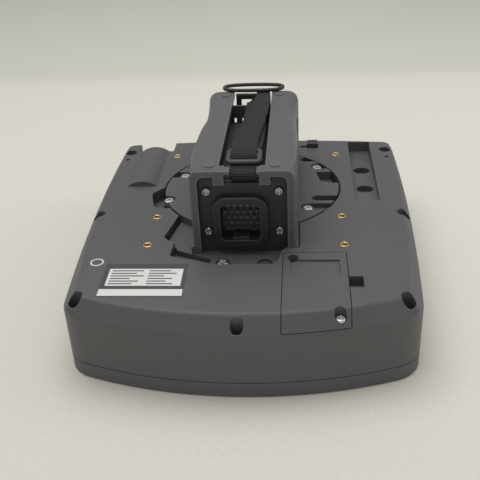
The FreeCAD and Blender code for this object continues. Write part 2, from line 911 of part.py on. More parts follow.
def bracket_screws():
    seat = display_top_z() + bracket_thickness
    return [board_screw(x, y, seat, case_screw_seat) for x, y in bracket_post_places()]


def board_z():
    return display_top_z() + bracket_thickness + spacer_height


def board_spacers():
    low = display_top_z() + bracket_thickness
    bore = board_screw_shank_radius + pin_gap
    return [post(x, y, low, board_z(), spacer_radius).cut(post(x, y, low, board_z(), bore))
            for x, y in spacer_places()]


def main_board():
    length = board_far_y - board_near_y
    high = board_z() + board_thickness
    sheet = plate(0, board_near_y + length / 2, board_width, length, board_z(), high, 2.0)
    return sheet.cut([post(x, y, board_z(), high, board_screw_shank_radius + pin_gap)
                      for x, y in spacer_places()])


def board_screws():
    seat = board_z() + board_thickness
    return [board_screw(x, y, seat, board_thickness + spacer_height) for x, y in spacer_places()]


def card_socket():
    # Slot for a memory card, standing on the board under the card cover
    x = (card_left_x + card_right_x) / 2
    opening = cover_opening().BoundBox
    near = opening.YMin + slide_gap
    far = opening.YMax - slide_gap
    middle = (near + far) / 2
    low = board_z() + board_thickness
    half = card_socket_width / 2
    body = box(x - half, x + half, near, far, low, low + card_socket_height)
    slot = box(x - half + wall, x + half - wall, middle - card_slot_height / 2, middle + card_slot_height / 2,
               low + wall, low + card_socket_height)
    return body.cut(slot)


def battery_axis_z():
    return board_z() + board_thickness + battery_holder_wall + battery_radius


def backup_battery():
    y = case_near_y + battery_inset_y
    half = battery_length / 2
    return bar_x(y, battery_axis_z(), battery_x - half, battery_x + half, battery_radius)


def battery_holder():
    y = case_near_y + battery_inset_y
    low = board_z() + board_thickness
    reach = battery_length / 2 + battery_holder_wall
    side = battery_radius + battery_holder_wall
    body = box(battery_x - reach, battery_x + reach, y - side, y + side, low, low + battery_holder_height)
    half = battery_length / 2 + fit_gap
    cradle = bar_x(y, battery_axis_z(), battery_x - half, battery_x + half, battery_radius + fit_gap)
    return body.cut(cradle)


def key_board():
    reach = (key_count - 1) * key_pitch / 2 + key_pitch / 2 + key_board_margin
    depth = key_length / 2 + key_flange + 2 * key_board_post_radius + slide_gap
    low = key_board_z()
    return plate(0, key_y, 2 * reach, 2 * depth, low, low + key_board_thickness, key_corner)


def op_key(place):
    # Key cap with a flange that keeps it behind the front plate
    x, y = place
    cap = plate(x, y, key_width, key_length, rim_depth - key_recess, plate_inner_z, key_corner)
    flange = plate(x, y, key_width + 2 * key_flange, key_length + 2 * key_flange, plate_inner_z,
                   plate_inner_z + key_flange_thickness, key_corner)
    rim = [edge for edge in cap.Edges if edge.BoundBox.ZMax < rim_depth - key_recess + 1e-3]
    return join([cap.makeFillet(0.5, rim), flange])


def power_lamp():
    x, y = lamp_place()
    lens = post(x, y, rim_depth, plate_inner_z, lamp_radius)
    return join([lens, post(x, y, plate_inner_z, plate_inner_z + key_flange_thickness, lamp_flange_radius)])


def stop_button():
    # Mushroom head turned from its profile, hollow where the stem enters
    low = stop_button_recess
    high = low + stop_button_height
    half = stop_button_radius
    back_axis = Vector(0, 0, high)
    back_rim = Vector(half * 0.55, 0, high)
    side_high = Vector(half, 0, high - stop_button_height * 0.3)
    side_low = Vector(half, 0, low + stop_button_dome)
    dome = Vector(half * 0.76, 0, low + stop_button_dome * 0.25)
    face_rim = Vector(half * 0.4, 0, low)
    face_axis = Vector(0, 0, low)
    profile = Part.Wire([
        Part.makeLine(back_axis, back_rim),
        Part.makeLine(back_rim, side_high),
        Part.makeLine(side_high, side_low),
        Part.Arc(side_low, dome, face_rim).toShape(),
        Part.makeLine(face_rim, face_axis),
        Part.makeLine(face_axis, back_axis),
    ])
    head = Part.Face(profile).revolve(Vector(0, 0, 0), Vector(0, 0, 1), 360)
    head.translate(Vector(stop_x, stop_y, 0))
    return head.cut(post(stop_x, stop_y, high - stop_stem_seat, high, stop_stem_radius + pin_gap))


def stop_stem():
    low = stop_button_recess + stop_button_height - stop_stem_seat + pin_gap
    return post(stop_x, stop_y, low, low + stop_stem_length, stop_stem_radius)


def stop_switch():
    # Barrel through the well floor and contact block behind it
    top = well_depth + well_wall + stop_block_height
    half = stop_block_size / 2
    low = well_depth + well_wall
    block = box(stop_x - half, stop_x + half, stop_y - half, stop_y + half, low, top)
    block = round_corners(block, 1.5, Vector(0, 0, 1))
    barrel = post(stop_x, stop_y, well_depth, low, stop_barrel_radius)
    stem_top = stop_button_recess + stop_button_height - stop_stem_seat + stop_stem_length + stop_travel
    bore = post(stop_x, stop_y, well_depth, stem_top + 1, stop_stem_radius + pin_gap)
    return join([block, barrel]).cut(bore)


def key_switch():
    y = case_far_y - key_switch_inset_y
    flange = post(key_switch_x, y, rim_depth - key_switch_flange_thickness, rim_depth, key_switch_flange)
    barrel = post(key_switch_x, y, rim_depth, rim_depth + key_switch_length, key_switch_radius)
    bore = post(key_switch_x, y, rim_depth - key_switch_flange_thickness, rim_depth + key_rotor_length,
                key_rotor_radius + pin_gap)
    return join([flange, barrel]).cut(bore)


def key_switch_nut():
    y = case_far_y - key_switch_inset_y
    corners = [(key_switch_x + key_nut_radius * math.cos(math.radians(60 * step)),
                y + key_nut_radius * math.sin(math.radians(60 * step))) for step in range(6)]
    high = plate_inner_z + key_nut_thickness
    nut = prism(corners, plate_inner_z, high)
    return nut.cut(post(key_switch_x, y, plate_inner_z, high, key_switch_radius + pin_gap))


def key_rotor():
    y = case_far_y - key_switch_inset_y
    low = rim_depth - key_switch_flange_thickness
    core = post(key_switch_x, y, low, rim_depth + key_rotor_length - pin_gap, key_rotor_radius)
    slot = box(key_switch_x - key_slot_width / 2, key_switch_x + key_slot_width / 2,
               y - key_slot_length / 2, y + key_slot_length / 2, low, low + key_slot_depth)
    return core.cut(slot)


def grip_base():
    # Round plate flush with the rear face, foot of the grip, and a lower step with the tab
    body = join([
        post(0, disc_y, recess_floor_z, plate_top_z, disc_radius),
        foot(recess_floor_z, plate_top_z),
        prism(from_grip(tab_outline), recess_floor_z, tab_top_z),
        prism(from_grip(cable_step), recess_floor_z, tab_top_z),
    ] + [post(x, y, recess_floor_z, seat, rim_ear_radius) for x, y, seat in base_screw_seats()])
    top = plate_top_z + 1
    low = plate_top_z - plate_skin
    panel_back = grip_near_y + panel_recess + panel_thickness
    reach = disc_radius + rim_pocket_radius
    cuts = [post(0, disc_y, recess_floor_z, low, plate_hollow_radius)]
    cuts.append(box(-panel_half_width, panel_half_width, grip_near_y - 1, panel_back, tab_top_z, top))
    cuts.append(prism(from_disc(wide_pocket), plate_top_z - max(rim_screw_depths), top))
    for x, y, seat in base_screw_seats()[:-1]:
        cuts.append(obround(x, y, math.copysign(reach, x), y, rim_pocket_radius, seat, top))
    for x, y in disc_places(spare_slot_radii, spare_slot_turns):
        cuts.append(obround(x, y, math.copysign(reach, x), y, rim_pocket_radius * 0.8,
                            plate_top_z - spare_slot_depth, top))
    for x in (-tab_screw_x, tab_screw_x):
        cuts.append(post(x, tab_screw_y(), tab_top_z - tab_pocket_depth, tab_top_z, rim_pocket_radius))
    cuts.append(post(tab_screw_x, tab_screw_y(), recess_floor_z, tab_top_z, screw_shank_radius))
    cuts += [post(x, y, recess_floor_z, top, base_screw_shank_radius + pin_gap)
             for x, y, seat in base_screw_seats()]
    for x, y in rail_screw_places():
        cuts.append(post(x, y, recess_floor_z, low, rail_screw_head_radius + slide_gap))
        cuts.append(post(x, y, low, top, rail_screw_shank_radius + pin_gap))
    return body.cut(cuts)


def grip_base_screws():
    return [screw(x, y, seat, base_screw_head_radius, base_screw_head_height, base_screw_shank_radius,
                  base_screw_length) for x, y, seat in base_screw_seats()]


def rail_screw_places():
    rows = (grip_near_y + rail_screw_inset, grip_far_y - rail_screw_inset)
    return [(side * rail_screw_x, y) for side in (-1, 1) for y in rows]


def rail_mark_places():
    rows = (grip_near_y + rail_mark_near_inset, grip_far_y - rail_mark_far_inset)
    return [(side * rail_mark_x, y) for side in (-1, 1) for y in rows]


def rail_marks():
    # Round plugs moulded over the rail columns, standing a little proud of the rails
    return [post(x, y, grip_top_z - grip_wall / 2, grip_top_z + rail_mark_rise, rail_mark_radius)
            for x, y in rail_mark_places()]


def grip_section(y, side_half, shoulder_z, flat_half, fullness, top_z):
    # Outline of the grip across its length: straight sides, shoulders and a flat top.
    # A full shoulder is a rounded corner, a lean one is nearly straight and leaves a crease.
    def shoulder(sign):
        side = Vector(sign * side_half, y, shoulder_z)
        flat = Vector(sign * flat_half, y, top_z)
        chord = (side + flat) * 0.5
        pull = chord + (Vector(sign * side_half, y, top_z) - chord) * fullness
        curve = Part.BezierCurve()
        curve.setPoles([side, pull, flat] if sign > 0 else [flat, pull, side])
        return curve.toShape()

    low_left = Vector(-side_half, y, plate_top_z)
    low_right = Vector(side_half, y, plate_top_z)
    return Part.Wire([
        Part.makeLine(low_left, low_right),
        Part.makeLine(low_right, Vector(side_half, y, shoulder_z)),
        shoulder(1),
        Part.makeLine(Vector(flat_half, y, top_z), Vector(-flat_half, y, top_z)),
        shoulder(-1),
        Part.makeLine(Vector(-side_half, y, shoulder_z), low_left),
    ])


def grip_form(shrink):
    # Grip body lofted from a squarish near end over a creased, waisted middle to a rounded head
    half = grip_half_width - shrink
    top = grip_top_z - shrink
    wires = []
    rows = zip(grip_rows_y, grip_side_insets, grip_shoulder_drops, grip_flat_insets, grip_shoulder_fullness)
    for row_y, side_inset, drop, flat_inset, fullness in rows:
        y = min(max(grip_near_y + row_y, grip_near_y + shrink), grip_far_y - shrink)
        wires.append(grip_section(y, half - side_inset, top - drop, half - flat_inset, fullness, top))
    return Part.makeLoft(wires, True)


def lever_pin_place():
    x = grip_half_width - lever_inset - lever_boss_radius
    y = grip_far_y - lever_far_inset - lever_pin_inset
    return (x, y)


def lever_window(grow):
    far = grip_far_y - lever_far_inset
    return box(grip_half_width - grip_wall * 1.5, grip_half_width + 2, far - lever_length - grow, far + grow,
               lever_low_z - grow, lever_low_z + lever_height + grow)


def tunnel():
    # Space between the rails: a narrow mouth at the top and a wider way below it
    lip_z = grip_top_z - grip_wall
    gap = strap_gap_width / 2
    half = tunnel_width / 2
    mouth = box(-gap, gap, grip_near_y - 1, grip_far_y + 1, lip_z - 1, grip_top_z + 1)
    return mouth.fuse(box(-half, half, grip_near_y + grip_wall, grip_far_y + 1, tunnel_floor_z, lip_z))


def panel_screw_places():
    rises = (panel_screw_low, panel_screw_high)
    return [(side * panel_screw_x, plate_top_z + rise) for side in (-1, 1) for rise in rises]


def panel_height():
    return grip_top_z - panel_top_drop - plate_top_z


def grip_shell():
    outer = grip_form(0)
    inner = grip_form(grip_wall)
    half = tunnel_width / 2 + tunnel_wall
    panel_back = grip_near_y + panel_recess + panel_thickness
    floor_start = grip_near_y - socket_proud + socket_depth + tunnel_wall
    kept = [box(-half, half, floor_start, grip_far_y, tunnel_floor_z - tunnel_wall, grip_top_z)]
    kept += [post(x, y, plate_top_z, grip_top_z, rail_column_radius) for x, y in rail_screw_places()]
    for x, z in panel_screw_places():
        start, end = sorted((x - math.copysign(panel_block_half, x), math.copysign(grip_half_width, x)))
        kept.append(box(start, end, panel_back, panel_back + panel_block_length,
                        z - panel_block_half, z + panel_block_half))
    pin_x, pin_y = lever_pin_place()
    block = lever_boss_radius + fit_gap
    for z in (lever_low_z - lever_gap - lever_pin_block, lever_low_z + lever_height + lever_gap):
        kept.append(box(pin_x - block, grip_half_width, pin_y - block, pin_y + block, z, z + lever_pin_block))
    opening = upright(0, plate_top_z + panel_height() / 2 - panel_corner, 2 * panel_half_width,
                      panel_height() + 2 * panel_corner, grip_near_y - 1, panel_back, panel_corner)
    shell = outer.cut(inner.cut(kept))
    barrel = socket_bore + 2 * grip_wall + 2 * slide_gap
    cuts = [tunnel(), opening, lever_window(lever_gap)]
    cuts.append(upright(socket_x, plate_top_z + socket_rise, barrel, barrel, panel_back,
                        panel_back + socket_depth, socket_bore_corner + grip_wall))
    screw_top = plate_top_z - plate_skin + rail_screw_length
    cuts += [post(x, y, plate_top_z, screw_top, rail_screw_shank_radius + pin_gap)
             for x, y in rail_screw_places()]
    for x, z in panel_screw_places():
        cuts.append(bar_y(x, z, panel_back, panel_back + panel_block_length, screw_shank_radius + pin_gap))
    cuts.append(post(pin_x, pin_y, lever_low_z - lever_gap - lever_pin_block,
                     lever_low_z + lever_height + lever_gap + lever_pin_block, lever_pin_radius + pin_gap))
    bar_y_place, bar_z = anchor_place()
    reach = strap_gap_width / 2 + grip_wall
    bar_hole = bar_x(bar_y_place, bar_z, -reach, reach, anchor_radius + pin_gap)
    return shell.cut(cuts).fuse(strap_lugs() + rail_marks()).cut(bar_hole).removeSplitter()


def anchor_place():
    return (grip_near_y + anchor_inset, grip_top_z - anchor_drop)


def strap_lugs():
    # Two ears under the near ends of the rails that hold the strap's bar, and guides beside the strap
    outer = strap_gap_width / 2 + grip_wall
    inner = outer - lug_width
    edge = strap_width / 2 + slide_gap
    top = grip_top_z - fit_gap
    lugs = []
    for side in (-1, 1):
        start, end = sorted((side * outer, side * inner))
        lugs.append(box(start, end, grip_near_y, grip_near_y + lug_length, grip_top_z - lug_height, top))
        start, end = sorted((side * inner, strap_x + side * edge))
        lugs.append(box(start, end, grip_near_y, grip_near_y + ear_length, top - ear_thickness, top))
    return lugs


def strap_anchor():
    y, z = anchor_place()
    reach = strap_gap_width / 2 + grip_wall
    return bar_x(y, z, -reach, reach, anchor_radius)


def turned_screw(place, turn, head_radius, shank_radius, length):
    # Screw turned about the X axis, with its seat at the given place
    solid = screw(0, 0, 0, head_radius, screw_head_height, shank_radius, length)
    solid.Placement = FreeCAD.Placement(place, FreeCAD.Rotation(Vector(1, 0, 0), turn))
    return solid


def grip_shell_screws():
    # Put in from under the base plate, heads down
    seat = plate_top_z - plate_skin
    return [turned_screw(Vector(x, y, seat), 180, rail_screw_head_radius, rail_screw_shank_radius,
                         rail_screw_length)
            for x, y in rail_screw_places()]


def strap_tray():
    # Dark trough under the rails' lips, with a slotted wall at its far end
    near = grip_near_y + tray_start
    far = near + tray_length
    half = tunnel_width / 2 - slide_gap
    top = grip_top_z - grip_wall - fit_gap
    low = top - tray_depth
    trough = box(-half, half, near, far, low, top)
    inside = box(-half + tray_skin, half - tray_skin, near - 1, far - tray_skin, low + tray_skin, top + 1)
    floor = low + tray_skin
    slits = []
    for step in range(tray_slits):
        left = (step - (tray_slits - 1) / 2) * tray_slit_pitch - tray_slit_width / 2
        slits.append(box(left, left + tray_slit_width, far - 2 * tray_skin, far + 1,
                         floor, floor + tray_slit_height))
    return trough.cut([inside] + slits)


def lever():
    # Long finger plate with a knuckle round its pin
    pin_x, pin_y = lever_pin_place()
    far = grip_far_y - lever_far_inset
    face = grip_half_width - lever_inset
    body = box(face - lever_thickness, face, far - lever_length, far, lever_low_z, lever_low_z + lever_height)
    long_edges = [edge for edge in body.Edges
                  if edge.BoundBox.XMin > face - 1e-3 and edge.BoundBox.YLength > lever_length / 2]
    body = body.makeFillet(1.0, long_edges)
    knuckle = post(pin_x, pin_y, lever_low_z, lever_low_z + lever_height, lever_boss_radius)
    bore = post(pin_x, pin_y, lever_low_z, lever_low_z + lever_height, lever_pin_radius + pin_gap)
    return join([body, knuckle]).cut(bore)


def lever_pin():
    x, y = lever_pin_place()
    reach = lever_gap + lever_pin_block
    return post(x, y, lever_low_z - reach, lever_low_z + lever_height + reach, lever_pin_radius)


def plunger_place():
    return (lever_pin_place()[1] - plunger_arm, lever_low_z + lever_height / 2)


def enable_switch():
    y, z = plunger_place()
    low_x = tunnel_width / 2 + tunnel_wall
    body = box(low_x, low_x + switch_depth, y - switch_length / 2, y + switch_length / 2,
               z - switch_height / 2, z + switch_height / 2)
    return body.cut(bar_x(y, z, low_x + 1, low_x + switch_depth, plunger_radius + pin_gap))


def enable_plunger():
    y, z = plunger_place()
    start = tunnel_width / 2 + tunnel_wall + switch_depth * 0.65
    return bar_x(y, z, start, grip_half_width - lever_inset - lever_thickness - slide_gap, plunger_radius)


def connector_panel():
    near = grip_near_y + panel_recess
    back = near + panel_thickness
    sheet = upright(0, plate_top_z + panel_height() / 2 - panel_corner, 2 * (panel_half_width - fit_gap),
                    panel_height() + 2 * panel_corner - 2 * fit_gap, near, back, panel_corner)
    sheet = sheet.common(box(-grip_half_width, grip_half_width, near, back, tab_top_z, grip_top_z))
    cuts = [bar_y(x, z, near, back, screw_shank_radius + pin_gap) for x, z in panel_screw_places()]
    hole = socket_bore + 2 * grip_wall
    cuts.append(upright(socket_x, plate_top_z + socket_rise, hole, hole, near, back,
                        socket_bore_corner + grip_wall))
    strap_low_z = anchor_place()[1] - anchor_radius - pin_gap - strap_thickness
    notch_z = min(strap_low_z, grip_top_z - lug_height) - fit_gap
    reach = strap_gap_width / 2 + grip_wall + fit_gap
    cuts.append(box(-reach, reach, near, near + panel_thickness, notch_z, grip_top_z))
    return sheet.cut(cuts)


def connector_panel_screws():
    near = grip_near_y + panel_recess
    return [turned_screw(Vector(x, near, z), 90, panel_screw_head_radius, screw_shank_radius,
                         panel_screw_length)
            for x, z in panel_screw_places()]


def connector_shell():
    # Rounded square flange in front of the panel, with the barrel behind it
    near = grip_near_y - socket_proud
    panel_y = grip_near_y + panel_recess
    z = plate_top_z + socket_rise
    flange = upright(socket_x, z, socket_size, socket_size, near, panel_y, socket_corner)
    barrel_size = socket_bore + 2 * grip_wall - 2 * fit_gap
    back = near + socket_depth
    barrel = upright(socket_x, z, barrel_size, barrel_size, panel_y, back, socket_bore_corner + grip_wall)
    bore = upright(socket_x, z, socket_bore, socket_bore, near, back, socket_bore_corner)
    low = z - socket_bore / 2
    key_half = socket_key_width / 2
    key = box(socket_x - key_half, socket_x + key_half, near + 1, near + socket_face_depth,
              low - 1, low + socket_key_height)
    front = [edge for edge in flange.Edges if edge.BoundBox.YMax < near + 1e-3]
    flange = flange.makeFillet(1.0, front)
    return join([flange, barrel]).cut(bore).fuse(key).removeSplitter()


def connector_insert():
    face = grip_near_y - socket_proud + socket_face_depth
    size = socket_bore - 2 * fit_gap
    back = grip_near_y - socket_proud + socket_depth
    return upright(socket_x, plate_top_z + socket_rise, size, size, face, back, socket_bore_corner)


def connector_pins():
    face = grip_near_y - socket_proud + socket_face_depth
    pins = []
    for row, count in enumerate(pin_rows):
        z = plate_top_z + socket_rise + ((len(pin_rows) - 1) / 2 - row) * pin_pitch
        for step in range(count):
            x = socket_x + (step - (count - 1) / 2) * pin_pitch
            pins.append(bar_y(x, z, face - pin_length, face, pin_radius))
    return pins


def strap_loop():
    # Frame that stands at the far end of the tunnel and carries the strap's end
    top = grip_top_z - fit_gap
    far = grip_far_y - ring_inset + loop_thickness / 2
    near = far - loop_thickness
    top_z = top - ring_sleeve
    frame = box(-loop_width / 2, loop_width / 2, near, far, tunnel_floor_z, top_z)
    window = box(-loop_width / 2 + loop_leg, loop_width / 2 - loop_leg, near - 1, far + 1,
                 tunnel_floor_z + loop_foot, top_z - loop_top_bar)
    half = tunnel_width / 2 - fit_gap
    return join([frame.cut(window), box(-half, half, near, far, tunnel_floor_z, tunnel_floor_z + loop_foot)])


def ring_axis():
    return (grip_far_y - ring_inset, grip_top_z + ring_wire_radius + pin_gap * 2)


def hanger_ring():
    # Oval wire ring: two straight bars joined by half circles
    y, z = ring_axis()
    half = ring_straight / 2
    reach = half + ring_bend_radius
    middle_y = y + ring_bend_radius
    far_y = y + 2 * ring_bend_radius
    start = Vector(0, y, z)
    corners = [Vector(side, at, z) for side, at in ((half, y), (half, far_y), (-half, far_y), (-half, y))]
    path = Part.Wire([
        Part.makeLine(start, corners[0]),
        Part.Arc(corners[0], Vector(reach, middle_y, z), corners[1]).toShape(),
        Part.makeLine(corners[1], corners[2]),
        Part.Arc(corners[2], Vector(-reach, middle_y, z), corners[3]).toShape(),
        Part.makeLine(corners[3], start),
    ])
    section = Part.Wire(Part.makeCircle(ring_wire_radius, start, Vector(1, 0, 0)))
    return path.makePipeShell([section], True, False)


def strap_run(points, lean):
    # Flat webbing along a line in Y and Z, leaning to the right from its first point
    up = []
    down = []
    for index, (y, z) in enumerate(points):
        before = Vector(0, *points[max(index - 1, 0)])
        after = Vector(0, *points[min(index + 1, len(points) - 1)])
        run = after.sub(before).normalize()
        normal = Vector(0, -run.z, run.y) * (strap_thickness / 2)
        up.append(Vector(0, y, z) + normal)
        down.append(Vector(0, y, z) - normal)
    loop = up + down[::-1]
    face = Part.Face(Part.makePolygon(loop + loop[:1]))
    ribbon = face.extrude(Vector(strap_width, 0, 0))
    ribbon.translate(Vector(strap_x - strap_width / 2, 0, 0))
    ribbon.rotate(Vector(strap_x, points[0][0], 0), Vector(0, 0, 1), -lean)
    return ribbon


def strap_rise():
    # The webbing's line from the anchor bar up to its crest: two points in Y and Z
    anchor_y, anchor_z = anchor_place()
    lift = anchor_radius + pin_gap + strap_thickness / 2
    crest = (grip_near_y + strap_crest_inset, grip_top_z + strap_crest_rise)
    return ((anchor_y, anchor_z + lift), crest)


def hand_strap():
    # One length of webbing from the anchor bar over the crest to the ring, with a sleeve at each end
    ring_y, ring_z = ring_axis()
    anchor_y, anchor_z = anchor_place()
    ring_hole = ring_wire_radius + 2 * pin_gap
    anchor_hole = anchor_radius + pin_gap
    low, crest = strap_rise()
    far_x = strap_x + math.tan(math.radians(strap_lean)) * (ring_y - crest[0])
    sleeve_half = strap_width * 0.38
    half = strap_width / 2
    strap = join([
        strap_run((crest, (ring_y, ring_z - strap_thickness / 2)), strap_lean),
        strap_run((low, crest), 0),
        bar_x(ring_y, ring_z, far_x - sleeve_half, far_x + sleeve_half, ring_hole + ring_sleeve),
        bar_x(anchor_y, anchor_z, strap_x - half, strap_x + half, anchor_hole + strap_thickness),
    ])
    return strap.cut([bar_x(ring_y, ring_z, -tunnel_width, tunnel_width, ring_hole),
                      bar_x(anchor_y, anchor_z, -tunnel_width, tunnel_width, anchor_hole)])


def strap_buckle():
    # Three-bar slider lying on the rising part of the webbing
    low, crest = strap_rise()
    slope = math.atan2(crest[1] - low[1], crest[0] - low[0])
    frame = plate(strap_x, 0, slider_width, slider_length, 0, slider_thickness, slider_corner)
    half = strap_width / 2 + 2 * slide_gap
    inner = slider_bar / 2
    outer = slider_length / 2 - slider_bar
    slots = [box(strap_x - half, strap_x + half, start, end, 0, slider_thickness)
             for start, end in ((-outer, -inner), (inner, outer))]
    frame = frame.cut(slots)
    flat_edges = [edge for edge in frame.Edges if edge.BoundBox.ZLength < 1e-3]
    frame = frame.makeFillet(slider_round, flat_edges)
    y = grip_near_y + slider_inset
    frame.translate(Vector(0, 0, strap_thickness / 2 + fit_gap))
    frame.rotate(Vector(0, 0, 0), Vector(1, 0, 0), math.degrees(slope))
    frame.translate(Vector(0, y, low[1] + (y - low[0]) * math.tan(slope)))
    return frame


def main():
    os.makedirs("parts", exist_ok=True)
    makers = (
        front_cover, rear_cover, case_seal, case_screws, threaded_inserts, bracket_hooks,
        card_cover, card_cover_screws, card_socket, touch_panel, display_module, display_bracket,
        bracket_screws, main_board, board_spacers, board_screws, backup_battery, battery_holder,
        key_board, power_lamp, stop_switch, stop_stem, stop_button, key_switch, key_switch_nut,
        key_rotor, grip_base, grip_base_screws, grip_shell, grip_shell_screws, strap_tray,
        strap_anchor, connector_panel, connector_panel_screws, connector_shell, connector_insert,
        connector_pins, lever_pin, enable_switch, enable_plunger, hand_strap, strap_buckle,
        strap_loop, hanger_ring,
    )
    for maker in makers:
        save(maker.__name__, maker())
    save("enable_lever", lever())
    for index, place in enumerate(key_places()):
        save("op_key_%d" % (index + 1), op_key(place))


main()
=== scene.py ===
import math
import bmesh
import bpy
import numpy as np
from mathutils import Matrix, Vector


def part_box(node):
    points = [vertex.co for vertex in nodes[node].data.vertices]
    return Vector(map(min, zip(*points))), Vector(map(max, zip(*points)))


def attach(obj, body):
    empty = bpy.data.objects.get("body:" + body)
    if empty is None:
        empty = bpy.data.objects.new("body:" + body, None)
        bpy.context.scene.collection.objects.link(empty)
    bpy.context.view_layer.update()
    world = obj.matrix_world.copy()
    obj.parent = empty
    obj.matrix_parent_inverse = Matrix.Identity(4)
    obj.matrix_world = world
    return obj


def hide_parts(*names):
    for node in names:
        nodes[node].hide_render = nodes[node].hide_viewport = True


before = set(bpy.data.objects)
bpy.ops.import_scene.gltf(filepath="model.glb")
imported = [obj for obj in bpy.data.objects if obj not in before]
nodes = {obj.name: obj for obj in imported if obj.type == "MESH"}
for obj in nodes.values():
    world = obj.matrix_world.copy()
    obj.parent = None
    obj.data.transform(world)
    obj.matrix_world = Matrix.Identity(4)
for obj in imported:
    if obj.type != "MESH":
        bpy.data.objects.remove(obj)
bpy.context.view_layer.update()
mm = 0.001
weld = {"made": 1e-7, "node": 1e-6}  # distances in metres below which points are joined
print("frame loaded,", len(nodes), "CAD pieces")


# mesh helpers

def meshPiece(name, points, faces, uv=None, smooth=True):
    # surface from plain arrays: shared points such as poles are joined, and faces are turned outward
    mesh = bpy.data.meshes.new(name)
    mesh.from_pydata(np.asarray(points).reshape(-1, 3).tolist(), [], [list(face) for face in faces])
    if uv is not None:
        mesh.uv_layers.new(name="UVMap").data.foreach_set("uv", np.asarray(uv).ravel())
    solid = bmesh.new()
    solid.from_mesh(mesh)
    bmesh.ops.remove_doubles(solid, verts=solid.verts, dist=weld["made"])
    bmesh.ops.recalc_face_normals(solid, faces=solid.faces)
    solid.to_mesh(mesh)
    solid.free()
    mesh.polygons.foreach_set("use_smooth", np.full(len(mesh.polygons), smooth))
    made = bpy.data.objects.new(name, mesh)
    bpy.context.scene.collection.objects.link(made)
    return made


def gridFaces(rows, columns, wrapRows=False, wrapColumns=False, first=0):
    # quads between neighbouring rows and columns of a grid of points
    index = first + np.arange(rows * columns).reshape(rows, columns)
    if wrapRows:
        index = np.concatenate([index, index[:1]], 0)
    if wrapColumns:
        index = np.concatenate([index, index[:, :1]], 1)
    quads = np.stack([index[:-1, :-1], index[:-1, 1:], index[1:, 1:], index[1:, :-1]], -1)
    return quads.reshape(-1, 4).tolist()


def unit(vectors):
    return vectors / np.linalg.norm(vectors, axis=-1, keepdims=True)


def superOval(halfWidth, halfHeight, count, power):
    # rounded rectangle: sign(cos) |cos|^(2/power) across, and the same with sin for the height
    turn = np.linspace(0, 2 * math.pi, count, endpoint=False)
    c, s = np.cos(turn), np.sin(turn)
    across = halfWidth * np.sign(c) * np.abs(c) ** (2 / power)
    height = halfHeight * np.sign(s) * np.abs(s) ** (2 / power)
    return np.stack([across, height], -1)


def roundedLoop(width, length, corner, step, cornerPoints=25):
    # flat rounded rectangle, four quarter circles joined by straight runs, stepped evenly along its length
    turn = np.linspace(0, math.pi / 2, cornerPoints)
    ring = []
    for quarter, sx, sy in ((0, 1, 1), (1, -1, 1), (2, -1, -1), (3, 1, -1)):
        angle = turn + quarter * math.pi / 2
        ring.append(np.stack([sx * (width / 2 - corner) + corner * np.cos(angle),
                              sy * (length / 2 - corner) + corner * np.sin(angle)], -1))
    ring = np.concatenate(ring + [ring[0][:1]])
    along = np.append(0, np.cumsum(np.linalg.norm(np.diff(ring, axis=0), axis=1)))
    at = np.linspace(0, along[-1], int(along[-1] / step), endpoint=False)
    return np.stack([np.interp(at, along, ring[:, k]) for k in (0, 1)], -1)


def loopSweep(loop, outline):
    # outline carried round a flat closed loop: outline's first number points outward, its second up
    ahead = unit(np.roll(loop, -1, 0) - np.roll(loop, 1, 0))
    outward = np.stack([ahead[:, 1], -ahead[:, 0]], -1)
    flat = loop[:, None] + outline[None, :, :1] * outward[:, None]
    lift = np.repeat(outline[None, :, 1:], len(loop), 0)
    return np.concatenate([flat, lift], -1)


def solidBoxes(node):
    # lowest and highest corners of each separate solid in a CAD node, in mm
    body = bmesh.new()
    body.from_mesh(nodes[node].data)
    bmesh.ops.remove_doubles(body, verts=body.verts, dist=weld["node"])
    boxes = []
    waiting = set(body.verts)
    while waiting:
        front = [waiting.pop()]
        island = []
        while front:
            vertex = front.pop()
            island.append(vertex.co[:])
            for edge in vertex.link_edges:
                other = edge.other_vert(vertex)
                if other in waiting:
                    waiting.discard(other)
                    front.append(other)
        island = np.array(island) / mm
        boxes.append((island.min(0), island.max(0)))
    body.free()
    return sorted(boxes, key=lambda pair: tuple(pair[0]))


# colour and node helpers

noiseSpan = {"From Min": 0.3, "From Max": 0.7}  # where a noise texture's values lie
convexSpan = {"From Min": 0.95, "From Max": 0.55}  # from a flat face to a sharp convex edge
glossSpread = {"moulded": (-0.05, 0.05), "metal": (-0.06, 0.08)}  # least and most change of roughness
metalBump = 0.25  # strength of the fine marks on metal
bumpShare = {"grain": 1 / 4, "marks": 1 / 6, "floats": 1 / 6}  # height of a bump as a share of its size


def linearFromHex(code):
    # sRGB hex to linear light, the curve that screens use
    value = np.array([int(code[i:i + 2], 16) for i in (0, 2, 4)]) / 255.0
    low = value / 12.92
    high = ((value + 0.055) / 1.055) ** 2.4
    return tuple(np.where(value <= 0.04045, low, high)) + (1.0,)


def addNode(tree, kind, inputs=None, **settings):
    # one node with its settings, and its inputs given as values or as links from other nodes
    node = tree.nodes.new(kind)
    for name, value in settings.items():
        setattr(node, name, value)
    for name, value in (inputs or {}).items():
        if isinstance(value, bpy.types.NodeSocket):
            tree.links.new(value, node.inputs[name])
        else:
            node.inputs[name].default_value = value
    return node


def startMaterial(name):
    material = bpy.data.materials.new(name)
    material.use_nodes = True
    tree = material.node_tree
    tree.nodes.clear()
    place = addNode(tree, "ShaderNodeTexCoord")
    return material, tree, place


def endMaterial(tree, inputs):
    surface = addNode(tree, "ShaderNodeBsdfPrincipled", inputs)
    addNode(tree, "ShaderNodeOutputMaterial", {"Surface": surface.outputs["BSDF"]})


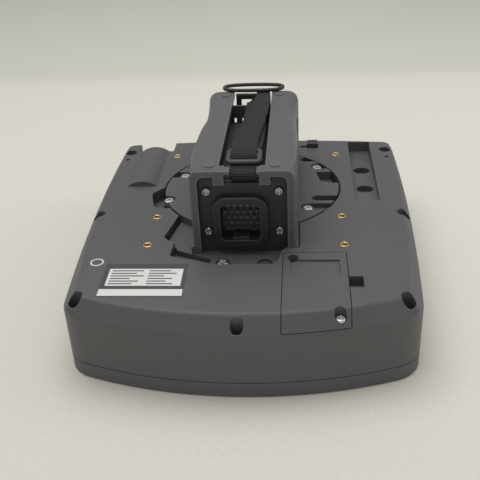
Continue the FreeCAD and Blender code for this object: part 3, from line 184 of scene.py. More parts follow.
def mouldedPlastic(name, look):
    # injection moulding: fine grain from the tool, a slow drift of tone and gloss from handling,
    # a small radius on every edge, and convex edges painted paler, partly as wear and partly as a painted
    # highlight
    material, tree, place = startMaterial(name)
    grain = addNode(tree, "ShaderNodeTexNoise", {
        "Vector": place.outputs["Object"], "Detail": 2.0, "Scale": 1000 / look["grainMm"]})
    drift = addNode(tree, "ShaderNodeTexNoise", {
        "Vector": place.outputs["Object"], "Detail": 3.0, "Scale": 1000 / look["driftMm"]})
    tone = addNode(tree, "ShaderNodeMix", {
        0: drift.outputs["Fac"], 6: linearFromHex(look["dark"]), 7: linearFromHex(look["light"])},
        data_type="RGBA")
    speck = addNode(tree, "ShaderNodeMapRange", {
        "Value": grain.outputs["Fac"], **noiseSpan, "To Min": 1 - look["speck"], "To Max": 1 + look["speck"]})
    toned = addNode(tree, "ShaderNodeVectorMath", {0: tone.outputs[2], 1: speck.outputs["Result"]},
                    operation="MULTIPLY")
    # convex edges are mixed toward a paler colour: partly wear, partly a painted highlight along the edges
    convex = addNode(tree, "ShaderNodeAmbientOcclusion", {"Distance": look["wearAndHighlightMm"] * mm}, inside=True,
                     only_local=True, samples=4)
    wearAndHighlightShare = addNode(tree, "ShaderNodeMapRange", {
        "Value": convex.outputs["AO"], **convexSpan, "To Min": 0.0, "To Max": look["wearAndHighlightShare"]})
    wearAndHighlightColour = addNode(tree, "ShaderNodeMix", {
        0: wearAndHighlightShare.outputs["Result"], 6: toned.outputs["Vector"], 7: linearFromHex(look["wearAndHighlightColour"])}, data_type="RGBA")
    least, most = glossSpread["moulded"]
    gloss = addNode(tree, "ShaderNodeMapRange", {
        "Value": drift.outputs["Fac"], **noiseSpan, "To Min": look["rough"] + least,
        "To Max": look["rough"] + most})
    edge = addNode(tree, "ShaderNodeBevel", {"Radius": look["edgeMm"] * mm}, samples=4)
    bump = addNode(tree, "ShaderNodeBump", {
        "Height": grain.outputs["Fac"], "Strength": look["bump"],
        "Distance": look["grainMm"] * mm * bumpShare["grain"], "Normal": edge.outputs["Normal"]})
    endMaterial(tree, {"Base Color": wearAndHighlightColour.outputs[2], "Roughness": gloss.outputs["Result"], "IOR": look["ior"],
                       "Normal": bump.outputs["Normal"]})
    return material


def finishedMetal(name, look):
    # plated or turned metal: bright, with fine marks that break the reflection up
    material, tree, place = startMaterial(name)
    marks = addNode(tree, "ShaderNodeTexNoise", {
        "Vector": place.outputs["Object"], "Detail": 4.0, "Roughness": 0.65, "Scale": 1000 / look["markMm"]})
    tone = addNode(tree, "ShaderNodeMix", {
        0: marks.outputs["Fac"], 6: linearFromHex(look["dark"]), 7: linearFromHex(look["light"])},
        data_type="RGBA")
    least, most = glossSpread["metal"]
    gloss = addNode(tree, "ShaderNodeMapRange", {
        "Value": marks.outputs["Fac"], **noiseSpan, "To Min": look["rough"] + least,
        "To Max": look["rough"] + most})
    edge = addNode(tree, "ShaderNodeBevel", {"Radius": look["edgeMm"] * mm}, samples=4)
    bump = addNode(tree, "ShaderNodeBump", {
        "Height": marks.outputs["Fac"], "Strength": metalBump,
        "Distance": look["markMm"] * mm * bumpShare["marks"], "Normal": edge.outputs["Normal"]})
    endMaterial(tree, {"Base Color": tone.outputs[2], "Metallic": look["metal"],
                       "Roughness": gloss.outputs["Result"], "Normal": bump.outputs["Normal"]})
    return material


def wovenTape(name, look):
    # plain-woven nylon, read from the tape's own UV in metres: the product of two crossed waves, which stands
    # proud and pale at each yarn float, in staggered rows
    material, tree, place = startMaterial(name)
    lattice = addNode(tree, "ShaderNodeMapping", {
        "Vector": place.outputs["UV"], "Rotation": (0, 0, math.pi / 4),
        "Scale": (1000 / look["alongMm"], 1000 / look["acrossMm"], 1)})
    waveScale = math.pi * math.sqrt(2) / 10  # a wave texture repeats every pi / 10 at a scale of 1
    waves = [addNode(tree, "ShaderNodeTexWave", {"Vector": lattice.outputs["Vector"], "Scale": waveScale},
                     bands_direction=axis) for axis in "XY"]
    floats = addNode(tree, "ShaderNodeMath", {0: waves[0].outputs["Fac"], 1: waves[1].outputs["Fac"]},
                     operation="MULTIPLY")
    proud = addNode(tree, "ShaderNodeMapRange", {
        "Value": floats.outputs["Value"], "From Min": look["floatFrom"], "From Max": look["floatTo"]})
    fibre = addNode(tree, "ShaderNodeTexNoise", {
        "Vector": place.outputs["Object"], "Detail": 3.0, "Scale": 1000 / look["fibreMm"]})
    tone = addNode(tree, "ShaderNodeMix", {
        0: proud.outputs["Result"], 6: linearFromHex(look["dark"]), 7: linearFromHex(look["light"])},
        data_type="RGBA")
    shade = addNode(tree, "ShaderNodeMapRange", {
        "Value": fibre.outputs["Fac"], **noiseSpan, "To Min": look["fibreDark"], "To Max": look["fibreLight"]})
    toned = addNode(tree, "ShaderNodeVectorMath", {0: tone.outputs[2], 1: shade.outputs["Result"]},
                    operation="MULTIPLY")
    bump = addNode(tree, "ShaderNodeBump", {
        "Height": floats.outputs["Value"], "Strength": look["bump"],
        "Distance": look["acrossMm"] * mm * bumpShare["floats"]})
    endMaterial(tree, {"Base Color": toned.outputs["Vector"], "Roughness": look["rough"], "IOR": look["ior"],
                       "Normal": bump.outputs["Normal"]})
    return material


# the worn colour and rub share of each plastic give its convex edges a paler colour, partly wear and partly
# painted highlight
plastics = {
    # ABS and polycarbonate blend from a spark-eroded tool: matt dark grey with a fine grain
    "sparkErodedAbs": {"dark": "565657", "light": "5f5f60", "wearAndHighlightColour": "7c7c7e", "grainMm": 0.45,
                       "driftMm": 38.0, "rough": 0.52, "bump": 0.35, "speck": 0.05, "ior": 1.54,
                       "edgeMm": 0.3, "wearAndHighlightMm": 0.6, "wearAndHighlightShare": 0.12},
    # the same blend on the grip, a little paler and smoother from the hand
    "handledAbs": {"dark": "5a5a5b", "light": "626263", "wearAndHighlightColour": "98989a", "grainMm": 0.4, "driftMm": 30.0,
                   "rough": 0.48, "bump": 0.3, "speck": 0.04, "ior": 1.54, "edgeMm": 0.6, "wearAndHighlightMm": 1.0,
                   "wearAndHighlightShare": 0.5},
    # glass-filled nylon, moulded black: dull, faintly mottled by the fibres
    "filledNylon": {"dark": "323236", "light": "3b3b3f", "wearAndHighlightColour": "58585a", "grainMm": 0.35, "driftMm": 22.0,
                    "rough": 0.5, "bump": 0.3, "speck": 0.08, "ior": 1.53, "edgeMm": 0.35, "wearAndHighlightMm": 0.5,
                    "wearAndHighlightShare": 0.5},
    # the socket's harder black polyester, with paler edges that are partly wear and partly painted highlight
    "blackPolyester": {"dark": "242427", "light": "2c2c2f", "wearAndHighlightColour": "6e6e70", "grainMm": 0.35,
                       "driftMm": 18.0, "rough": 0.42, "bump": 0.2, "speck": 0.05, "ior": 1.58,
                       "edgeMm": 0.35, "wearAndHighlightMm": 0.6, "wearAndHighlightShare": 0.6},
    # the strap tray's nylon, also used on the socket insert: a dark grey painted paler than the black nylon, as
    # painted light that lifts the shade in the deep tray and the socket
    "shadeLiftedNylon": {"dark": "47474a", "light": "525255", "wearAndHighlightColour": "66666a", "grainMm": 0.35, "driftMm": 16.0,
                   "rough": 0.6, "bump": 0.3, "speck": 0.08, "ior": 1.53, "edgeMm": 0.35, "wearAndHighlightMm": 0.5,
                   "wearAndHighlightShare": 0.4},
    # acetal slider, polished by the webbing
    "polishedAcetal": {"dark": "444446", "light": "4e4e50", "wearAndHighlightColour": "6a6a6c", "grainMm": 0.3,
                       "driftMm": 9.0, "rough": 0.36, "bump": 0.12, "speck": 0.03, "ior": 1.48,
                       "edgeMm": 0.2, "wearAndHighlightMm": 0.4, "wearAndHighlightShare": 0.2},
    # silicone keys: pale grey, soft and dull
    "siliconeRubber": {"dark": "8f9193", "light": "9a9c9e", "wearAndHighlightColour": "a8aaac", "grainMm": 0.3,
                       "driftMm": 12.0, "rough": 0.6, "bump": 0.25, "speck": 0.03, "ior": 1.41,
                       "edgeMm": 0.6, "wearAndHighlightMm": 0.6, "wearAndHighlightShare": 0.3},
    # polished red ABS of the stop button
    "polishedRedAbs": {"dark": "a5120f", "light": "b51713", "wearAndHighlightColour": "c23a34", "grainMm": 0.5,
                       "driftMm": 14.0, "rough": 0.33, "bump": 0.08, "speck": 0.02, "ior": 1.54,
                       "edgeMm": 0.5, "wearAndHighlightMm": 0.5, "wearAndHighlightShare": 0.3},
    # glass-epoxy board under green solder resist
    "solderResist": {"dark": "0f4a24", "light": "14582c", "wearAndHighlightColour": "3a6b48", "grainMm": 1.6, "driftMm": 18.0,
                     "rough": 0.35, "bump": 0.15, "speck": 0.06, "ior": 1.5, "edgeMm": 0.1, "wearAndHighlightMm": 0.3,
                     "wearAndHighlightShare": 0.2},
    # shrunk PVC sleeve of the cell
    "shrunkPvc": {"dark": "33507a", "light": "3b5a86", "wearAndHighlightColour": "56739c", "grainMm": 0.6, "driftMm": 10.0,
                  "rough": 0.3, "bump": 0.1, "speck": 0.02, "ior": 1.53, "edgeMm": 0.3, "wearAndHighlightMm": 0.4,
                  "wearAndHighlightShare": 0.2},
    # green polycarbonate light pipe
    "tintedPolycarbonate": {"dark": "2f9a45", "light": "37a84e", "wearAndHighlightColour": "5cc072", "grainMm": 0.4,
                            "driftMm": 6.0, "rough": 0.2, "bump": 0.04, "speck": 0.02, "ior": 1.58,
                            "edgeMm": 0.2, "wearAndHighlightMm": 0.3, "wearAndHighlightShare": 0.2},
    # hardened cover glass over a dark display: almost black, with a haze of finger grease
    "coverGlass": {"dark": "0b0d0f", "light": "121418", "wearAndHighlightColour": "2a2d30", "grainMm": 0.8, "driftMm": 46.0,
                   "rough": 0.12, "bump": 0.01, "speck": 0.02, "ior": 1.52, "edgeMm": 0.2, "wearAndHighlightMm": 0.3,
                   "wearAndHighlightShare": 0.2},
    # printed polyester film of the bare plates
    "darkFilm": {"dark": "3d3d3e", "light": "454546", "wearAndHighlightColour": "58585a", "grainMm": 0.3, "driftMm": 16.0,
                 "rough": 0.42, "bump": 0.08, "speck": 0.03, "ior": 1.6, "edgeMm": 0.03, "wearAndHighlightMm": 0.1,
                 "wearAndHighlightShare": 0.2},
    "whiteFilm": {"dark": "e6e6e3", "light": "efefec", "wearAndHighlightColour": "f2f2ef", "grainMm": 0.3, "driftMm": 14.0,
                  "rough": 0.42, "bump": 0.06, "speck": 0.02, "ior": 1.6, "edgeMm": 0.03, "wearAndHighlightMm": 0.1,
                  "wearAndHighlightShare": 0.2},
    "greyFilm": {"dark": "4c4c4d", "light": "575758", "wearAndHighlightColour": "6a6a6b", "grainMm": 0.3, "driftMm": 14.0,
                 "rough": 0.42, "bump": 0.06, "speck": 0.02, "ior": 1.6, "edgeMm": 0.03, "wearAndHighlightMm": 0.1,
                 "wearAndHighlightShare": 0.2},
}
metals = {
    # bright zinc on rolled steel screws
    "zincSteel": {"dark": "b8b8b4", "light": "f2f1ec", "markMm": 0.5, "rough": 0.34, "metal": 1.0,
                  "edgeMm": 0.12},
    # the same plating gone grey in patches in the panel's corners
    "dullZincSteel": {"dark": "6e6e6c", "light": "f0efea", "markMm": 1.1, "rough": 0.22, "metal": 1.0,
                      "edgeMm": 0.1},
    # turned brass of the inserts
    "turnedBrass": {"dark": "c6a563", "light": "fbe3ac", "markMm": 0.4, "rough": 0.24, "metal": 1.0,
                    "edgeMm": 0.12},
    # thin pale gold on the contact pins, mostly in shadow
    "goldFlash": {"dark": "a89a76", "light": "ddd2b0", "markMm": 0.3, "rough": 0.3, "metal": 1.0,
                  "edgeMm": 0.08},
    # black lacquer on spring wire: only the lacquer shows, so it isn't metallic
    "lacqueredWire": {"dark": "2a2a2a", "light": "3a3a3a", "markMm": 0.8, "rough": 0.34, "metal": 0.0,
                      "edgeMm": 0.1},
}
# yarn floats are drawn a little coarser than they are, since finer ones vanish in the render
tapeLook = {"dark": "070708", "light": "7e7e82", "acrossMm": 1.6, "alongMm": 2.6, "fibreMm": 0.4,
            "fibreDark": 0.75, "fibreLight": 1.15, "floatFrom": 0.64, "floatTo": 0.98, "bump": 0.7,
            "rough": 0.8, "ior": 1.53}
finish = {name: mouldedPlastic(name, look) for name, look in plastics.items()}
finish.update({name: finishedMetal(name, look) for name, look in metals.items()})
finish["wovenNylon"] = wovenTape("wovenNylon", tapeLook)

nodeFinish = {
    "sparkErodedAbs": ["rear_cover", "front_cover", "card_cover", "grip_base"],
    "handledAbs": ["grip_shell"],
    # the paler nylon here is painted light: it lifts the shade on the strap tray and the socket insert
    "shadeLiftedNylon": ["strap_tray", "connector_insert"],
    "blackPolyester": ["connector_shell"],
    "filledNylon": ["bracket_hooks", "connector_panel", "strap_loop", "strap_buckle", "hand_strap",
                    "enable_lever", "enable_switch", "enable_plunger", "key_switch", "stop_switch",
                    "stop_stem", "card_socket", "battery_holder", "case_seal", "display_module"],
    "siliconeRubber": ["op_key_%d" % i for i in range(1, 7)],
    "polishedRedAbs": ["stop_button"],
    "zincSteel": ["case_screws", "card_cover_screws", "bracket_screws", "board_screws", "grip_base_screws",
                  "grip_shell_screws", "connector_panel_screws", "lever_pin", "display_bracket",
                  "key_switch_nut", "key_rotor"],
    "turnedBrass": ["threaded_inserts", "board_spacers"],
    "goldFlash": ["connector_pins"],
    "lacqueredWire": ["hanger_ring", "strap_anchor"],
    "coverGlass": ["touch_panel"],
    "tintedPolycarbonate": ["power_lamp"],
    "solderResist": ["main_board", "key_board"],
    "shrunkPvc": ["backup_battery"],
}
for name, members in nodeFinish.items():
    for member in members:
        nodes[member].data.materials.clear()
        nodes[member].data.materials.append(finish[name])
print("finishes given to", sum(len(members) for members in nodeFinish.values()), "CAD pieces")


def dress(piece, material, slot, body, *replaced):
    piece.data.materials.clear()
    piece.data.materials.append(finish[material])
    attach(piece, body)
    if replaced:
        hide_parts(*replaced)
    return piece


# moulded skins: merged copies of the visible mouldings, shaded smoothly up to their real edges

skins = {
    "rearCoverSkin": ("rear_cover", "sparkErodedAbs", "housing", "case"),
    "frontCoverSkin": ("front_cover", "sparkErodedAbs", "housing", "case"),
    "cardCoverSkin": ("card_cover", "sparkErodedAbs", "cover_plastic", "case"),
    "baseSkin": ("grip_base", "sparkErodedAbs", "base_plastic", "case"),
    "gripSkin": ("grip_shell", "handledAbs", "grip_plastic", "case"),
    "hookSkins": ("bracket_hooks", "filledNylon", "dark_plastic", "case"),
    "traySkin": ("strap_tray", "shadeLiftedNylon", "dark_plastic", "case"),
    "panelSkin": ("connector_panel", "filledNylon", "dark_plastic", "case"),
    "socketSkin": ("connector_shell", "blackPolyester", "dark_plastic", "case"),
    "loopSkin": ("strap_loop", "filledNylon", "dark_plastic", "case"),
    "leverSkin": ("enable_lever", "filledNylon", "dark_plastic", "enable_lever"),
    "stopSkin": ("stop_button", "polishedRedAbs", "stop_red", "stop_button"),
}
skinLook = {"joinMm": 0.002, "sharpTurn": 30.0}


def mouldedSkin(name, node, material, slot, body):
    mesh = nodes[node].data.copy()
    mesh.name = name
    solid = bmesh.new()
    solid.from_mesh(mesh)
    bmesh.ops.remove_doubles(solid, verts=solid.verts, dist=skinLook["joinMm"] * mm)
    for edge in solid.edges:
        edge.smooth = len(edge.link_faces) == 2 and edge.calc_face_angle() < math.radians(skinLook["sharpTurn"])
    solid.to_mesh(mesh)
    solid.free()
    mesh.polygons.foreach_set("use_smooth", np.full(len(mesh.polygons), True))
    piece = bpy.data.objects.new(name, mesh)
    bpy.context.scene.collection.objects.link(piece)
    flats = piece.modifiers.new("flats", "WEIGHTED_NORMAL")  # large faces stay flat beside their rounds
    flats.keep_sharp = True
    return dress(piece, material, slot, body, node)


for name, given in skins.items():
    mouldedSkin(name, *given)
print("mouldings skinned:", len(skins))


# screws with a cross recess, one for each solid of its CAD node

screwForm = {"crownRows": 20, "rimRows": 7, "columns": 96, "rimShare": 0.45, "tip": 0.6, "sideFade": 0.2,
             "endFade": 0.35, "firstTurn": 0.5, "nextTurn": 0.9}
screwLooks = {
    "baseScrews": {"node": "grip_base_screws", "material": "zincSteel", "height": 2.6, "shank": 2.0, "arm": 2.1,
                   "armWidth": 0.62, "depth": 1.4, "upright": True},
    "coverScrews": {"node": "card_cover_screws", "material": "zincSteel", "height": 2.2, "shank": 1.5,
                    "arm": 1.8, "armWidth": 0.55, "depth": 1.2, "upright": True},
    "panelScrews": {"node": "connector_panel_screws", "material": "dullZincSteel", "height": 2.2, "shank": 1.5,
                    "arm": 2.0, "armWidth": 0.75, "depth": 1.5, "upright": False},
}


def screwSurface(look, headRadius, length, turn):
    # profile turned about the axis: crown, rounded rim, head side, seat, shank and tip. The recess lowers the
    # crown by the deeper of two crossed grooves, each fading over its edge
    crown = np.linspace(0, 1, screwForm["crownRows"])
    bend = np.linspace(0, math.pi / 2, screwForm["rimRows"])[1:]
    corner = look["height"] * screwForm["rimShare"]
    flat = headRadius - corner
    shank, tip = look["shank"], screwForm["tip"]
    radius = np.concatenate([crown * flat, flat + corner * np.sin(bend),
                             [headRadius, shank, shank, tip * shank, 0.0]])
    level = np.concatenate([0 * crown, corner * (np.cos(bend) - 1),
                            [-look["height"], -look["height"], tip - length, -length, -length]])
    angle = np.linspace(0, 2 * math.pi, screwForm["columns"], endpoint=False)
    x, y = radius[:, None] * np.cos(angle), radius[:, None] * np.sin(angle)
    u, v = x * math.cos(turn) + y * math.sin(turn), y * math.cos(turn) - x * math.sin(turn)
    first, second = (np.clip((look["armWidth"] - np.abs(beside)) / screwForm["sideFade"], 0, 1)
                     * np.clip((look["arm"] - np.abs(along)) / screwForm["endFade"], 0, 1)
                     for along, beside in ((u, v), (v, u)))
    groove = np.maximum(first, second)
    groove[len(crown):] = 0
    return np.stack([x, y, level[:, None] - look["depth"] * groove], -1)


def crossScrews(name, look):
    points, faces = [], []
    for number, (low, high) in enumerate(solidBoxes(look["node"])):
        x, y, z = (low + high) / 2
        length = high[2] - low[2] if look["upright"] else high[1] - low[1]
        turn = screwForm["firstTurn"] + screwForm["nextTurn"] * number
        surface = screwSurface(look, (high[0] - low[0]) / 2, length, turn)
        top = np.array((x, y, high[2]))
        if not look["upright"]:
            surface = np.stack([surface[..., 0], -surface[..., 2], surface[..., 1]], -1)
            top = np.array((x, low[1], z))
        rows, columns = surface.shape[:2]
        faces += gridFaces(rows, columns, wrapColumns=True, first=number * rows * columns)
        points.append((surface.reshape(-1, 3) + top) * mm)
    piece = meshPiece(name, np.concatenate(points), faces)
    return dress(piece, look["material"], "screw_steel", "case", look["node"])


for name, look in screwLooks.items():
    crossScrews(name, look)
print("screws made")


# threaded inserts: knurled brass bushes with a threaded bore

bush = {"bore": 1.65, "chamfer": 0.35, "threadDepth": 0.16, "pitch": 0.7, "knurls": 28, "knurlDepth": 0.08,
        "columns": 84, "outsideRows": 4, "boreRows": 70}


def bushSurface(radius, low, top):
    # rings up the outside with knurls cos(n angle), over the rim, and down the bore, whose radius is
    # bore - depth cos^2(half the angle + pi z / pitch), a helical thread
    angle = np.linspace(0, 2 * math.pi, bush["columns"], endpoint=False)
    outside = np.linspace(low, top - bush["chamfer"], bush["outsideRows"])
    inside = np.linspace(top - bush["chamfer"], low, bush["boreRows"])
    knurled = radius - bush["knurlDepth"] * (0.5 - 0.5 * np.cos(bush["knurls"] * angle))
    thread = np.cos(angle[None] / 2 + math.pi * inside[:, None] / bush["pitch"]) ** 2
    rims = np.array([radius - bush["chamfer"], bush["bore"] + bush["chamfer"]])
    radii = np.concatenate([np.repeat(knurled[None], len(outside), 0), np.repeat(rims[:, None], len(angle), 1),
                            bush["bore"] - bush["threadDepth"] * thread])
    levels = np.repeat(np.concatenate([outside, [top, top], inside])[:, None], len(angle), 1)
    return np.stack([radii * np.cos(angle), radii * np.sin(angle), levels], -1)


def insertBushes():
    points, faces = [], []
    for number, (low, high) in enumerate(solidBoxes("threaded_inserts")):
        surface = bushSurface((high[0] - low[0]) / 2, low[2], high[2])
        rows, columns = surface.shape[:2]
        middle = np.array(((low[0] + high[0]) / 2, (low[1] + high[1]) / 2, 0))
        faces += gridFaces(rows, columns, wrapRows=True, wrapColumns=True, first=number * rows * columns)
        points.append((surface.reshape(-1, 3) + middle) * mm)
    piece = meshPiece("insertBushes", np.concatenate(points), faces)
    return dress(piece, "turnedBrass", "insert_brass", "case", "threaded_inserts")


insertBushes()


# hanger ring: round wire bent to a flat oval with drawn-in ends, taken from the CAD ring's own box

ring = {"power": 2.7, "steps": 160, "round": 20}


def hangerWire():
    # round outline carried round an oval loop
    low, high = (np.array(corner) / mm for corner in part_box("hanger_ring"))
    size, middle = high - low, (high + low) / 2
    wire = size[2] / 2
    loop = superOval(size[0] / 2 - wire, size[1] / 2 - wire, ring["steps"], ring["power"])
    rings = loopSweep(loop, superOval(wire, wire, ring["round"], 2.0)) + middle
    faces = gridFaces(ring["steps"], ring["round"], wrapRows=True, wrapColumns=True)
    piece = meshPiece("hangerWire", rings * mm, faces)
    return dress(piece, "lacqueredWire", "black_steel", "hanger_ring", "hanger_ring")


hangerWire()


# strap slider: a frame of rounded bars and a middle bar, lying on the rising webbing

slope = {"start": (-38.5, 95.4), "crest": (-16.0, 97.4)}
slider = {"x": 0.8, "y": -26.0, "width": 20.2, "length": 15.4, "corner": 3.2, "barWidth": 3.0, "barHeight": 2.6,
          "lift": 2.1, "power": 3.0, "slim": 0.85, "step": 0.5, "points": 24, "barRows": 8}
slopeTurn = math.atan2(slope["crest"][1] - slope["start"][1], slope["crest"][0] - slope["start"][0])
sliderAlong = (slider["y"] - slope["start"][0]) / math.cos(slopeTurn)


def onSlope(along, height):
    # Y and Z of a point along the webbing's rise and square to it
    c, s = math.cos(slopeTurn), math.sin(slopeTurn)
    return slope["start"][0] + along * c - height * s, slope["start"][1] + along * s + height * c


def strapSlider():
    # rounded outline carried round the frame, and a slimmer one along the middle bar
    bar, points, rows = slider["barWidth"], slider["points"], slider["barRows"]
    loop = roundedLoop(slider["width"] - bar, slider["length"] - bar, slider["corner"] - bar / 2,
                       slider["step"])
    outline = superOval(bar / 2, slider["barHeight"] / 2, points, slider["power"])
    rings = loopSweep(loop, outline)
    reach = np.linspace(-0.5, 0.5, rows) * (slider["width"] - bar)
    slim = outline * slider["slim"]
    middleBar = np.stack(np.broadcast_arrays(reach[:, None], slim[None, :, 0], slim[None, :, 1]), -1)
    first = len(loop) * points
    last = first + rows * points
    faces = gridFaces(len(loop), points, wrapRows=True, wrapColumns=True)
    faces += gridFaces(rows, points, wrapColumns=True, first=first)
    faces += [range(first, first + points), range(last - points, last)]
    local = np.concatenate([rings.reshape(-1, 3), middleBar.reshape(-1, 3)])
    y, z = onSlope(sliderAlong + local[:, 1], slider["lift"] + local[:, 2])
    piece = meshPiece("strapSlider", np.stack([local[:, 0] + slider["x"], y, z], -1) * mm, faces)
    return dress(piece, "polishedAcetal", "dark_plastic", "case", "strap_buckle")


strapSlider()


# hand strap: one length of tape round the anchor bar, through the slider, over the top bar of the far frame
# and back under itself. Each station has Y, Z and X of the middle, the share of the full width, and the
# sideways roll in degrees. Those at the slider have the way along the rise from it, and the height above it

tape = {
    "width": 14.5, "thickness": 1.2, "ribs": 11, "ribDepth": 0.14, "points": 96, "edgePower": 7.0, "step": 0.45,
    "smoothSteps": 9, "tail": ((-31.0, 89.85, 0.9, 1.0, 0),),
    "anchor": (-38.5, 92.6), "anchorRadius": 2.75, "anchorX": 0.9, "anchorTurns": (-90, -135, -180, -225, -260),
    "riseStart": 5.0, "riseX": 0.6,
    "slider": ((-6.4, 0.0), (-4.0, 0.9), (-2.4, 3.0), (-0.8, 4.0), (1.0, 4.1), (4.5, 4.0), (7.4, 3.9),
               (10.0, 3.0)),
    "upper": ((-8.0, 99.1, 0.2, 1.0, 2), (4.0, 98.8, 1.2, 1.0, 3), (24.0, 98.7, 3.2, 0.99, 5),
              (44.0, 98.6, 5.1, 0.95, 8), (64.0, 98.2, 6.6, 0.8, 9), (76.0, 97.2, 7.0, 0.66, 3)),
    "farTurn": ((82.4, 96.45, 7.0, 0.62, 0), (85.8, 96.45, 7.0, 0.62, 0), (86.7, 96.0, 7.0, 0.62, 0),
                (87.0, 94.6, 7.0, 0.62, 0), (87.0, 92.4, 6.6, 0.64, 0), (86.4, 90.5, 5.0, 0.7, 0)),
    "lower": ((84.5, 89.8, 2.8, 0.75, 0), (80.5, 90.6, 2.0, 0.75, 0), (70.8, 94.5, 2.0, 0.77, 0),
              (65.5, 94.9, 2.3, 0.8, 2), (44.0, 96.0, 3.2, 0.93, 4), (24.0, 96.8, 4.0, 0.97, 4),
              (4.0, 97.1, 3.6, 0.99, 3), (-8.0, 97.2, 3.0, 0.99, 1), (-15.5, 97.0, 2.4, 0.99, 0)),
}


def levelStations(y, z, x):
    # stations of the full width without roll
    return np.stack([y, z] + [np.full_like(y, value) for value in (x, 1.0, 0.0)], -1)


def tapeStations():
    # an arc about the anchor bar, the rise through the slider, then the two runs and the turn between them
    angle = np.radians(tape["anchorTurns"])
    anchor = levelStations(tape["anchor"][0] + tape["anchorRadius"] * np.cos(angle),
                           tape["anchor"][1] + tape["anchorRadius"] * np.sin(angle), tape["anchorX"])
    along, height = np.array(tape["slider"]).T
    y, z = onSlope(np.append(tape["riseStart"], sliderAlong + along), np.append(0.0, height))
    rise = levelStations(y, z, tape["riseX"])
    return np.concatenate([tape["tail"], anchor, rise, tape["upper"], tape["farTurn"], tape["lower"]])


def handStrap():
    # smoothed run through the stations. The outline is a thin rounded strip, its thickness lowered between ribs
    # by cos(2 pi ribs x)
    stations = tapeStations()
    along = np.append(0, np.cumsum(np.linalg.norm(np.diff(stations[:, :3], axis=0), axis=1)))
    at = np.arange(0, along[-1], tape["step"])
    run = np.stack([np.interp(at, along, stations[:, k]) for k in range(5)], -1)
    kernel = np.hanning(tape["smoothSteps"])[1:-1]
    padded = np.pad(run, ((len(kernel) // 2, len(kernel) // 2), (0, 0)), mode="edge")
    run = np.stack([np.convolve(padded[:, k], kernel / kernel.sum(), "valid") for k in range(5)], -1)
    path = run[:, [2, 0, 1]]
    strip = superOval(0.5, 0.5, tape["points"], tape["edgePower"])
    ribs = 1 - tape["ribDepth"] * (0.5 + 0.5 * np.cos(2 * math.pi * tape["ribs"] * (strip[:, 0] + 0.5)))
    wide = tape["width"] * run[:, 3:4] * strip[None, :, 0]
    thick = np.repeat((tape["thickness"] * strip[:, 1] * ribs)[None], len(run), 0)
    roll = np.radians(run[:, 4:5])
    ahead = unit(np.gradient(path, axis=0))
    across = unit(np.array((1.0, 0, 0)) - ahead * ahead[:, :1])
    lift = np.cross(across, ahead)
    rings = (path[:, None] + (wide * np.cos(roll) - thick * np.sin(roll))[..., None] * across[:, None]
             + (wide * np.sin(roll) + thick * np.cos(roll))[..., None] * lift[:, None])
    rows, columns = len(path), tape["points"]
    u, v = np.meshgrid(at * mm, (np.append(strip[:, 0], strip[0, 0]) + 0.5) * tape["width"] * mm, indexing="ij")
    grid = np.stack([u, v], -1)
    corners = np.stack([grid[:-1, :-1], grid[:-1, 1:], grid[1:, 1:], grid[1:, :-1]], 2).reshape(-1, 2)
    faces = gridFaces(rows, columns, wrapColumns=True)
    faces += [range(columns), range((rows - 1) * columns, rows * columns)]
    uv = np.concatenate([corners, np.zeros((2 * columns, 2))])
    print("strap %.0f mm long, %.1f mm wide" % (along[-1], tape["width"]))
    return dress(meshPiece("handStrap", rings * mm, faces, uv), "wovenNylon", "webbing", "case", "hand_strap")


handStrap()


# bare rating plate and strip on the near left of the rear face, with plain bars, and a plain ring mark

faceZ = 49.0
plate = {
    "plateBase": ("darkFilm", 0.0, 0.14, ((-76.5, -60.7), (-30.4, -60.8), (-29.7, -92.4), (-75.6, -92.6))),
    "plateField": ("whiteFilm", 0.14, 0.2, ((-73.5, -66.0), (-32.3, -66.0), (-32.0, -82.8), (-73.2, -82.8))),
    "plateStrip": ("whiteFilm", 0.14, 0.2, ((-75.5, -86.0), (-30.2, -86.0), (-30.0, -92.1), (-75.4, -92.3))),
}
plateBars = {"rise": 0.2, "thickness": 0.05, "height": 1.0, "left": (-71.8, -51.0), "first": -67.6,
             "pitch": 2.55,
             "widths": ((17.5, 12.0), (14.0, 15.5), (18.5, 9.0), (11.0, 13.5), (16.0, 10.5), (13.0, 14.5))}
ringMark = {"x": -82.8, "y": -59.0, "outer": 3.9, "inner": 3.0, "rise": 0.14, "points": 64}


def filmPiece(name, material, low, high, outlines):
    # thin films: each outline at two heights, joined round its edge
    points, faces = [], []
    for outline in outlines:
        flat = np.array(outline)
        count, first = len(flat), sum(len(level) for level in points)
        points += [np.column_stack([flat, np.full(count, faceZ + level)]) for level in (low, high)]
        faces += gridFaces(2, count, wrapColumns=True, first=first)
        faces += [range(first, first + count), range(first + count, first + 2 * count)]
    piece = meshPiece(name, np.concatenate(points) * mm, faces, smooth=False)
    return dress(piece, material, "housing", "case")


for name, (material, low, high, outline) in plate.items():
    filmPiece(name, material, low, high, [outline])
bars = []
for row, widths in enumerate(plateBars["widths"]):
    top = plateBars["first"] - row * plateBars["pitch"]
    for left, width in zip(plateBars["left"], widths):
        bars.append(((left, top), (left + width, top), (left + width, top - plateBars["height"]),
                     (left, top - plateBars["height"])))
filmPiece("plateBars", "greyFilm", plateBars["rise"], plateBars["rise"] + plateBars["thickness"], bars)


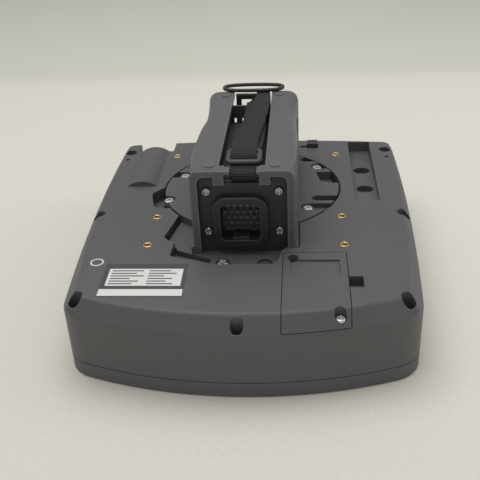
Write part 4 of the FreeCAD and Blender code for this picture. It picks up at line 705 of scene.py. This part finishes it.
def plainRingMark():
    # flat ring: two circles at two heights
    angle = np.linspace(0, 2 * math.pi, ringMark["points"], endpoint=False)
    outer, inner, top = ringMark["outer"], ringMark["inner"], faceZ + ringMark["rise"]
    rings = np.array(((outer, faceZ), (outer, top), (inner, top), (inner, faceZ)))
    points = np.stack(np.broadcast_arrays(ringMark["x"] + rings[:, :1] * np.cos(angle),
                                          ringMark["y"] + rings[:, :1] * np.sin(angle), rings[:, 1:]), -1)
    faces = gridFaces(len(rings), len(angle), wrapRows=True, wrapColumns=True)
    piece = meshPiece("plainRingMark", points * mm, faces, smooth=False)
    return dress(piece, "whiteFilm", "housing", "case")


plainRingMark()
print("bare label places made")


# floor, light and camera

# far: the floor colour beyond the object, painted darker as the shade of a backdrop wall and a little greener
# as the wall's own tint
studio = {"floor": "ece8de", "far": "deddd1", "backdropShadeY": (0.39, 0.435), "reach": 3.0, "speckMm": 2.4,
          "mottle": 0.03, "rough": 0.9, "fill": 0.43, "air": "f4f4f3",
          "lamps": {"keyBox": (6.4, 1.0, (-0.14, 0.14, 1.1)), "sideBox": (0.75, 0.3, (0.7, 0.1, 0.45))}}


def studioSheet():
    # one flat square of floor
    side = np.array((-1, 1)) * studio["reach"]
    points = np.stack(np.broadcast_arrays(side[None], side[:, None], 0.0), -1)
    return meshPiece("studioSheet", points, gridFaces(2, 2))


def studioPaper():
    # matt paper: faint mottling, and beyond the object a darker, slightly greener band: painted shade standing
    # for a backdrop wall, with a little of the wall's own tint
    material, tree, place = startMaterial("studioPaper")
    speck = addNode(tree, "ShaderNodeTexNoise", {
        "Vector": place.outputs["Object"], "Detail": 3.0, "Scale": 1000 / studio["speckMm"]})
    where = addNode(tree, "ShaderNodeSeparateXYZ", {"Vector": place.outputs["Object"]})
    backdropShadeMask = addNode(tree, "ShaderNodeMapRange", {
        "Value": where.outputs["Y"], "From Min": studio["backdropShadeY"][0], "From Max": studio["backdropShadeY"][1]})
    tone = addNode(tree, "ShaderNodeMix", {
        0: backdropShadeMask.outputs["Result"], 6: linearFromHex(studio["floor"]), 7: linearFromHex(studio["far"])},
        data_type="RGBA")
    mottle = addNode(tree, "ShaderNodeMapRange", {
        "Value": speck.outputs["Fac"], **noiseSpan, "To Min": 1 - studio["mottle"],
        "To Max": 1 + studio["mottle"]})
    toned = addNode(tree, "ShaderNodeVectorMath", {0: tone.outputs[2], 1: mottle.outputs["Result"]},
                    operation="MULTIPLY")
    endMaterial(tree, {"Base Color": toned.outputs["Vector"], "Roughness": studio["rough"]})
    return material


sheet = studioSheet()
sheet.data.materials.append(studioPaper())

air = bpy.data.worlds.new("studioAir")
air.use_nodes = True
air.node_tree.nodes["Background"].inputs["Color"].default_value = linearFromHex(studio["air"])
air.node_tree.nodes["Background"].inputs["Strength"].default_value = studio["fill"]
bpy.context.scene.world = air

for name, (watts, size, place) in studio["lamps"].items():
    lamp = bpy.data.lights.new(name, "AREA")
    lamp.size = size
    lamp.energy = watts
    softbox = bpy.data.objects.new(name, lamp)
    bpy.context.scene.collection.objects.link(softbox)
    softbox.location = place
    softbox.rotation_euler = (-softbox.location).to_track_quat("-Z", "Y").to_euler()

shot = {"place": (0.03267, -0.41328, 0.27218), "yaw": -5.41, "pitch": 30.40, "roll": 2.98, "lens": 56.44,
        "sensor": 36.0, "near": 0.01}
yaw, pitch, roll = (math.radians(shot[key]) for key in ("yaw", "pitch", "roll"))
ahead = Vector((math.sin(yaw) * math.cos(pitch), math.cos(yaw) * math.cos(pitch), -math.sin(pitch)))
right = Vector((math.cos(yaw), -math.sin(yaw), 0))
down = ahead.cross(right)
cameraRight = right * math.cos(roll) + down * math.sin(roll)
cameraDown = down * math.cos(roll) - right * math.sin(roll)
photoCamera = bpy.data.objects.new("photoCamera", bpy.data.cameras.new("photoCamera"))
photoCamera.data.lens = shot["lens"]
photoCamera.data.sensor_width = shot["sensor"]
photoCamera.data.clip_start = shot["near"]
bpy.context.scene.collection.objects.link(photoCamera)
axes = Matrix((cameraRight, -cameraDown, -ahead)).transposed().to_4x4()
photoCamera.matrix_world = Matrix.Translation(shot["place"]) @ axes
bpy.context.scene.camera = photoCamera
bpy.context.scene.view_settings.view_transform = "Standard"
print("studio and camera ready")
